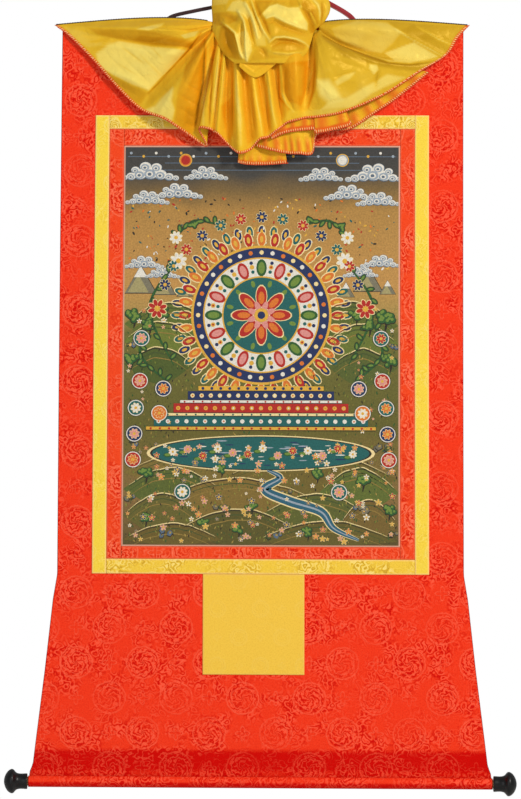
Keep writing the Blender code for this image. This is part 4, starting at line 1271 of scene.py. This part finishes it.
def paint_rock(art, a, b, size, dice):
    """A heap of rock: dark facets, each with a paler top."""
    for index in range(5):
        at_a, at_b = a + dice.uniform(-1, 1) * size, b + dice.uniform(-0.35, 0.35) * size
        facet, turn = size * dice.uniform(0.35, 0.6), dice.uniform(0, 3)
        colour = dice.choice((SLATE, "#6F6A58", MOSS))
        spot(art, at_a, at_b, facet, DARK, 2 + index, 5, 0.8, turn)
        spot(art, at_a, at_b + facet * 0.1, facet * 0.82, colour, 3 + index, 5, 0.8, turn)
        spot(art, at_a + facet * 0.12, at_b + facet * 0.3, facet * 0.4, STRAW, 4 + index, 4, 0.7, turn)


def paint_tree(art, a, b, size, layer, dice):
    """A small tree: a dark trunk under a round crown of leaves."""
    brush_line(art, [(a, b - size), (a + 0.12 * size, b - 0.3 * size), (a, b)], size * 0.2, DARK, layer, 6)
    for _ in range(14):
        turn, far = dice.uniform(0, 2 * math.pi), dice.uniform(0.1, 0.75) * size
        leaf_a, leaf_b = a + far * math.cos(turn), b + 0.25 * size + 0.7 * far * math.sin(turn)
        spot(art, leaf_a, leaf_b, size * 0.32, DARK, layer + 1, 9)
        spot(art, leaf_a, leaf_b + 0.03 * size, size * 0.27, LEAF, layer + 2, 9)
        spot(art, leaf_a - 0.05 * size, leaf_b + 0.09 * size, size * 0.14, PALE_LEAF, layer + 3, 8)


def paint_halo(art, _dice):
    """Two rings of leaf-shaped flames round the wheel, with gold tips."""
    a, b, size = WHEEL
    for count, far, long, colours, layer in ((44, 1.2, 0.085, (TEAL, NAVY), 1),
                                             (36, 1.09, 0.1, (RED, ORANGE), 2)):
        for index in range(count):
            turn = 2 * math.pi * index / count
            stack(art, around(a, b, size * far, turn), turn,
                  (size * long * 1.15, PALE_GOLD, layer, 12, 0.62),
                  (size * long, colours[index % 2], layer + 1, 12, 0.55),
                  (size * long * 0.5, GOLD, layer + 2, 8, 0.5))


def paint_wheel(art, _dice):
    """The big lotus wheel: gold and navy rims, a white ring of petals, and a red lotus on green."""
    a, b, size = WHEEL
    for share, colour, layer in ((1.0, GOLD, 5), (0.965, NAVY, 6), (0.83, GOLD, 7), (0.81, WHITE, 8),
                                 (0.56, GOLD, 10), (0.54, TEAL, 11)):
        spot(art, a, b, size * share, colour, layer, 72)
    for index in range(36):
        turn = 2 * math.pi * index / 36
        colour = (PALE_GOLD, ORANGE, WHITE)[index % 3]
        spot(art, *around(a, b, size * 0.9, turn), size * 0.032, colour, 7, 8)
    for index in range(16):
        turn = 2 * math.pi * index / 16
        petal, heart = (RED, PINK) if index % 2 else (LEAF, PALE_LEAF)
        stack(art, around(a, b, size * 0.68, turn), turn, (size * 0.125, petal, 9, 14, 0.6),
              (size * 0.085, heart, 10, 12, 0.55))
        turn += math.pi / 16
        for far, bud, colour in ((0.76, 0.026, NAVY), (0.7, 0.034, GOLD), (0.63, 0.026, TEAL),
                                 (0.7, 0.016, RED)):
            spot(art, *around(a, b, size * far, turn), size * bud, colour, 10, 9)
    for index in range(12):
        turn = 2 * math.pi * (index + 0.5) / 12
        spot(art, *around(a, b, size * 0.46, turn), size * 0.05, PALE_LEAF, 12, 10, 0.6, turn)
    for count, far, long, colour, layer in ((8, 0.27, 0.17, PALE_GOLD, 13), (8, 0.27, 0.15, RED, 14),
                                            (8, 0.25, 0.09, ORANGE, 15), (8, 0.13, 0.08, PINK, 16)):
        for index in range(count):
            turn = 2 * math.pi * (index + (0.5 if far < 0.2 else 0)) / count
            spot(art, *around(a, b, size * far, turn), size * long, colour, layer, 14, 0.5, turn)
    spot(art, a, b, size * 0.1, GOLD, 17, 20)
    spot(art, a, b, size * 0.055, NAVY, 18, 16)


def paint_plinth(art, dice):
    """The stepped plinth under the wheel, its bands set with small stones."""
    low = -62
    courses = ((96, 8, GOLD, NAVY), (112, 14, NAVY, PALE_GOLD), (124, 5, WHITE, RED), (134, 15, RED, GOLD),
               (150, 5, PALE_GOLD, TEAL), (164, 16, TEAL, WHITE), (176, 6, GOLD, RED))
    for half, height, colour, stones in courses:
        band(art, -half, half, low - height, low, colour, 13)
        band(art, -half, half, low - height, low - height + 1.2, DARK, 14)
        count = round(half / 7)
        for index in range(count):
            stone_a = -half + (index + 0.5) * 2 * half / count
            spot(art, stone_a, low - height / 2 + 0.4, min(3.4, height * 0.3), stones, 15, 8)
            if height > 10:
                spot(art, stone_a, low - height / 2 + 0.4, 1.5, dice.choice((WHITE, ORANGE, PINK)), 16, 6)
        low -= height


def paint_roundels(art, dice):
    """A column of flower roundels on each side."""
    for side in (-1, 1):
        for a, b, colour in ((186, -54, RED), (150, -66, NAVY), (192, -96, TEAL), (156, -104, ORANGE),
                             (194, -136, NAVY), (184, 12, TEAL), (-196, -176, RED), (120, -226, TEAL)):
            paint_roundel(art, side * a, b, 13, colour, dice)


def paint_roundel(art, a, b, size, colour, dice):
    """A flower on a round field of one colour, with a white and a dark rim."""
    stack(art, (a, b), 0.0, (size, DARK, 14, 24, 1.0), (size * 0.95, WHITE, 15, 24, 1.0),
          (size * 0.84, colour, 16, 24, 1.0))
    flower(art, a, b, size * 0.6, 8, dice.choice((RED, PINK, WHITE, ORANGE)), 17)


def hill(left, right, base, height):
    """A function for a hill's outline, uneven along its top. One that goes down, for its foot, is even."""
    def outline(a):
        swell = math.sin(math.pi * clamp((a - left) / (right - left)))
        uneven = 2.5 * noise.noise(Vector((a / 14, base, 0.5))) * swell if height > 0 else 0
        return base + height * swell + uneven
    return outline


def paint_land(art, _dice):
    """Snow peaks at the back, rolling hills with gold outlines, and a stream."""
    facets = ((0, 0, 1, DARK), (0, 0, 0.93, "#7B7560"), (-0.12, -0.12, 0.62, "#A39868"),
              (0, 0.55, 0.4, WHITE))
    for a, b, size in ((-186, 96, 30), (-150, 90, 22), (164, 98, 27), (194, 88, 15), (-118, 84, 15),
                       (130, 84, 16)):
        for layer, (right, up, share, colour) in enumerate(facets):
            spot(art, a + size * right, b + size * up, size * share, colour, layer, 3)
    # (left, right, base, height, colour)
    hills = ((-211, -74, 34, 34, "#5F6B2B"), (70, 211, 32, 38, "#5A6529"), (-211, -96, 8, 30, "#6C772E"),
             (96, 211, 4, 32, "#67722D"), (-211, -104, -28, 26, "#4E5C26"), (104, 211, -32, 28, "#56602A"),
             (-211, 60, -196, 40, "#7C6A30"), (-60, 211, -206, 44, "#6F6029"),
             (-211, -60, -222, 34, "#59632A"), (90, 211, -226, 38, "#5F6A2C"),
             (-160, 90, -240, 36, "#80692F"), (-211, -90, -262, 34, "#66602A"), (0, 170, -262, 34, "#5C6029"),
             (120, 211, -276, 40, "#755F2C"), (-130, 60, -286, 34, "#5A5424"),
             (-211, -60, -300, 26, "#6A5A26"), (-10, 211, -302, 32, "#645A26"))
    for index, (left, right, base, height, colour) in enumerate(hills):
        outline = hill(left, right, base, height)
        foot = hill(left, right, base, -min(30, base + 309))
        band(art, left, right, foot, outline, colour, 0.3 * index, 28)
        for drop, shade in ((0, PALE_GOLD), (2.5, DARK), (9, MOSS), (17, "#93793A")):
            along = [left + (right - left) * step / 16 for step in range(1, 16)]
            points = [(a, outline(a) - drop) for a in along]
            brush_line(art, points, 1.5, shade, 5, 30)
    stream = [(10, -192), (30, -204), (6, -222), (44, -240), (92, -256), (112, -282), (150, -300)]
    for width, colour, layer in ((18, PALE_GOLD, 8), (14, "#2C5F73", 9), (3, MIST, 10)):
        brush_line(art, stream, width, colour, layer, 48)


def paint_grass(art, dice):
    """Short strokes of grass over the ground, on three heights of it, and rocks."""
    for low, high, count in ((-305, -150, 900), (-150, -30, 420), (-30, 60, 260)):
        for _ in range(count):
            a, b = dice.uniform(-208, 208), dice.uniform(low, high)
            colour = dice.choice((MOSS, GRASS, STRAW, LEAF, "#8A8B3A", DARK))
            spot(art, a, b, dice.uniform(1.2, 3.2), colour, 5, 4, 0.35, dice.uniform(1.0, 2.1))
    for a, b, size in ((-190, -150, 12), (-96, -168, 9), (188, -158, 12), (110, -170, 10), (-204, -236, 10),
                       (40, -226, 10), (-60, -252, 11), (150, -250, 12), (-150, -290, 12), (20, -292, 11),
                       (196, -292, 12), (-198, 4, 9), (200, 0, 9)):
        paint_rock(art, a, b, size, dice)


def paint_plants(art, dice):
    """Trees on the hills, and small flowers all over the ground."""
    for a, b, size in ((-196, 44, 17), (-172, 30, 14), (-150, 48, 13), (190, 40, 18), (166, 28, 14),
                       (146, 46, 13), (-200, -24, 15), (198, -26, 15), (-60, -192, 12), (86, -200, 13),
                       (156, -210, 15), (-118, -226, 14), (-176, -200, 14), (-14, -252, 11), (196, -256, 14),
                       (-34, -288, 11), (-176, -270, 12), (72, -290, 12), (-88, -276, 11)):
        paint_tree(art, a, b, size, 8, dice)
    for _ in range(190):
        a, b = dice.uniform(-206, 206), dice.uniform(-302, -150)
        colour = dice.choice((WHITE, WHITE, PINK, RED, ORANGE, GOLD, NAVY))
        flower(art, a, b, dice.uniform(2.4, 5.4), 5, colour, 12)
    for _ in range(90):
        a, b = dice.uniform(-206, 206), dice.uniform(-140, 60)
        if abs(a) > 140:
            flower(art, a, b, dice.uniform(2, 4), 5, dice.choice((WHITE, PINK, RED, GOLD)), 12)


def paint_pond(art, dice):
    """A lotus pond under the plinth: teal water with white ripples, flat leaves and open flowers."""
    a, b, width = 0, -166, 170
    stack(art, (a, b), 0.0, (width * 1.03, PALE_GOLD, 8, 40, 0.16), (width, DARK, 9, 40, 0.155),
          (width * 0.98, TEAL, 10, 40, 0.15))
    for _ in range(46):
        far, turn = dice.uniform(0.1, 0.9), dice.uniform(0, 2 * math.pi)
        at_a, at_b = a + width * far * math.cos(turn), b + 0.14 * width * far * math.sin(turn)
        spot(art, at_a, at_b, dice.uniform(4, 9), dice.choice((MIST, WHITE, NAVY)), 11, 8, 0.12)
    for index in range(13):
        at_a, at_b = a + width * (index - 6) / 7.4, b + 6 * math.sin(index * 2.4)
        spot(art, at_a - 5, at_b - 3, 6.5, LEAF, 12, 12, 0.5)
        spot(art, at_a - 5, at_b - 2.6, 4.6, PALE_LEAF, 13, 10, 0.45)
        flower(art, at_a + 3, at_b + 2, 6.2, 8, (WHITE, PINK, RED)[index % 3], 14)


def paint_sky(art, dice):
    """Banks of cloud, a red sun and a white moon, dark streaks at the top, and petals that fall."""
    for b, half in ((293, 207), (283, 150), (272, 200)):
        band(art, -half, half, b, b + 1.2, SLATE, 1, 8)
    for a, b, size in ((-172, 268, 13), (172, 266, 13), (-128, 238, 11), (132, 236, 11), (-176, 228, 10),
                       (178, 226, 10), (-86, 266, 10), (90, 264, 10), (-180, 128, 9), (182, 130, 9),
                       (-152, 112, 8), (152, 114, 8)):
        cloud(art, a, b, size, 3, 1 if a > 0 else -1)
    for a, colour, rim in ((-118, RED, ORANGE), (124, WHITE, MIST)):
        stack(art, (a, 288), 0.0, (10, GOLD, 2, 24, 1.0), (8.6, rim, 3, 24, 1.0), (6.8, colour, 4, 24, 1.0))
    for index in range(22):
        spot(art, -202 + 404 * index / 21, 299 - 5 * (index % 2), 2.2, (MIST, GOLD, WHITE)[index % 3], 2, 8)
    for _ in range(240):
        a, b = dice.uniform(-204, 204), dice.uniform(120, 232)
        size, colour = dice.uniform(1.4, 3.2), dice.choice((GOLD, ORANGE, WHITE, RED, DARK, TEAL))
        spot(art, a, b, size, colour, 2, 6, 0.5, dice.uniform(0, 3))


def paint_garlands(art, _dice):
    """Leafy branches that climb on both sides of the wheel, with lotus flowers."""
    branches = (((140, -58), (186, -10), (160, 58), 15), ((134, -30), (172, 60), (128, 132), 13),
                ((60, 186), (104, 194), (132, 168), 10))
    for side in (-1, 1):
        for start, bend, end, flower_size in branches:
            points = [(side * start[0], start[1]), (side * bend[0], bend[1]), (side * end[0], end[1])]
            brush_line(art, points, 4.2, LEAF, 7, 18)
            for step in range(1, 12):
                turn = 0.8 * step
                stack(art, around(*smooth_row(points, step / 6), 6, turn), turn, (7.2, DARK, 7, 9, 0.55),
                      (6.2, LEAF, 8, 9, 0.5), (4, PALE_LEAF, 9, 8, 0.4))
            flower(art, side * end[0], end[1], flower_size, 8, (RED, WHITE, PINK)[flower_size % 3], 12)
    for index in range(13):
        turn = math.pi * (0.1 + 0.8 * index / 12)
        colour = (NAVY, RED, TEAL)[index % 3]
        flower(art, 156 * math.cos(turn), 48 + 152 * math.sin(turn), 9, 8, colour, 12)


def make_painting(material):
    """The painted canvas: a generic lotus wheel over a plinth, in a landscape."""
    half, top, bottom = FRAMES["painting"]
    canvas = make_panel("painting", -half, half, top, bottom, material, "painted_canvas", cell=4.0)
    colours = canvas.data.color_attributes.new("paint", "FLOAT_COLOR", "POINT")
    for index, vert in enumerate(canvas.data.vertices):
        share = clamp((top - vert.co.z / MM) / (top - bottom) + 0.02 * noise.noise(vert.co * 22))
        part = next(i for i, (low, _colour) in enumerate(GROUND_BANDS[1:]) if share <= low)
        (low, low_colour), (high, high_colour) = GROUND_BANDS[part:part + 2]
        mix = (share - low) / (high - low)
        pairs = zip(linear(low_colour), linear(high_colour))
        colours.data[index].color = [upper + (lower - upper) * mix for upper, lower in pairs]
    dice = random.Random(11)
    for name, paints in (("land", (paint_land,)), ("grass", (paint_grass,)), ("plants", (paint_plants,)),
                         ("sky", (paint_sky, paint_garlands)), ("pond", (paint_pond, paint_plinth)),
                         ("wheel", (paint_halo, paint_wheel, paint_roundels))):
        art = bmesh.new()
        art.verts.layers.float_color.new("paint")
        for paint in paints:
            paint(art, dice)
        piece = finished("painting_" + name, art, material, "painted_canvas")
        piece.data.shade_flat()


def set_camera():
    """Front view with a long lens: 799 pixels take in 1.238 m of the mount's height."""
    distance, height_seen = 7.0, 1.238
    middle_x, middle_z = -0.0039, -0.6735
    camera = bpy.data.cameras.new("camera")
    camera.sensor_fit = "VERTICAL"
    camera.sensor_height = 24.0
    camera.lens = camera.sensor_height * distance / height_seen
    camera.clip_end = 60
    stand = bpy.data.objects.new("camera", camera)
    stand.location = (middle_x, -distance, middle_z)
    stand.rotation_euler = (math.pi / 2, 0, 0)
    bpy.context.scene.collection.objects.link(stand)
    bpy.context.scene.camera = stand


# How strongly the white surround lights the part, where the camera sees it at 1.
AMBIENT = 0.34


def add_light(name, place, target, size, power, colour):
    """An area light, turned from its place to a target. Sizes are in metres and the power in watts."""
    light = bpy.data.lights.new(name, "AREA")
    light.shape = "RECTANGLE"
    light.size, light.size_y = size
    light.energy = power
    light.color = linear(colour)[:3]
    stand = bpy.data.objects.new(name, light)
    stand.location = place
    stand.rotation_euler = (Vector(target) - Vector(place)).to_track_quat("-Z", "Y").to_euler()
    bpy.context.scene.collection.objects.link(stand)


def set_light():
    """Soft studio light: a key from the upper right, a broad fill from the left, and a white surround that
    the camera sees brighter than it lights."""
    add_light("key", (3.2, -4.2, 2.0), (0, 0, -0.5), (1.0, 1.0), 205, "#FFFCF6")
    add_light("fill", (-1.8, -3.2, -0.4), (0, 0, -0.7), (2.4, 2.6), 24, "#F8FAFF")
    world = bpy.data.worlds.new("studio")
    world.use_nodes = True
    surround = world.node_tree.nodes["Background"]
    surround.inputs["Color"].default_value = (1, 1, 1, 1)
    seen = add(world.node_tree, "LightPath")
    strength = add(world.node_tree, "Math", (seen, 1 - AMBIENT, AMBIENT), operation="MULTIPLY_ADD")
    world.node_tree.links.new(strength, surround.inputs["Strength"])
    bpy.context.scene.world = world
    bpy.context.scene.view_settings.view_transform = "Standard"


def make_floor():
    """A pale floor below the hung part, short of the front view's lower edge."""
    half_width_m, half_depth, middle_y, floor_z = 2.5, 1.9, -1.1, -1.55
    bm = bmesh.new()
    bmesh.ops.create_grid(bm, x_segments=1, y_segments=1, size=1.0)
    for vert in bm.verts:
        vert.co = (vert.co.x * half_width_m, vert.co.y * half_depth + middle_y, floor_z)
    mesh = bpy.data.meshes.new("floor")
    bm.to_mesh(mesh)
    bm.free()
    made, _tree, _shader = new_material("pale_floor", Base_Color=linear("#ECEBE8"), Roughness=0.8)
    mesh.materials.append(made)
    floor = bpy.data.objects.new("floor", mesh)
    bpy.context.scene.collection.objects.link(floor)


# Pitch, row height and medallion radius of the two repeats, in mm.
RED_REPEAT = (101.5, 54.5, 24.5)
YELLOW_REPEAT = (66.0, 44.0, 12.5)
BROCADES = (
    # name, then ground, shade, light and edge colours, repeat, shift, strength. The edge colour is a painted
    # highlight on a panel's turned edges.
    ("red_silk_brocade", ("#F83C1C", "#D40600", "#FF5A3E", "#F4553C"), RED_REPEAT, (-23.7, 32.0), 0.95),
    ("red_silk_brocade_inner", ("#F64C22", "#D01606", "#FF7452", "#F4603C"), RED_REPEAT, (9.0, 12.0), 0.95),
    ("yellow_silk_brocade", ("#F8CF45", "#C9992A", "#FFE485", "#FFD080"), YELLOW_REPEAT, (0, 8), 0.85),
    ("yellow_silk_brocade_plain", ("#FBD94A", "#DDB22F", "#FFE682", "#FFD486"), YELLOW_REPEAT, (0, 8), 0.5),
    ("yellow_silk_brocade_door", ("#F7CA4A", "#DDA832", "#FAD66A", "#F6C45E"), YELLOW_REPEAT, (0, 8), 0.3),
)

set_camera()
red, inner_red, figured, plain, door = (brocade(name, *colours, *repeat, shift, strength)
                                        for name, colours, repeat, shift, strength in BROCADES)
make_cord(woven_cord("flat_woven_cord"))
make_mount(red)
make_borders(inner_red, figured, plain)
make_panel("door_panel", DOOR_LEFT, DOOR_RIGHT, FRAMES["yellow_outer"][2] - GAP, DOOR_BOTTOM, door,
           "yellow_brocade")
make_painting(painted_canvas("printed_canvas"))
make_veil(silk("satin_silk", "#F4DC70", "#DCAF29", "#B0820E", "#A06A08", "#F0BE2C", "#E6960F", "#E2601E"),
          sewing_thread("overlock_thread", "#FFCE86", "#DA4A18"),
          sewing_thread("dark_thread", "#2E2018", "#3A261C"))
make_knobs(lacquer("black_lacquer"))
wood = planed_wood("planed_fir")
for node in ("top_batten", "bottom_rod"):
    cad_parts[node].material_slots[0].material = wood
make_floor()
set_light()
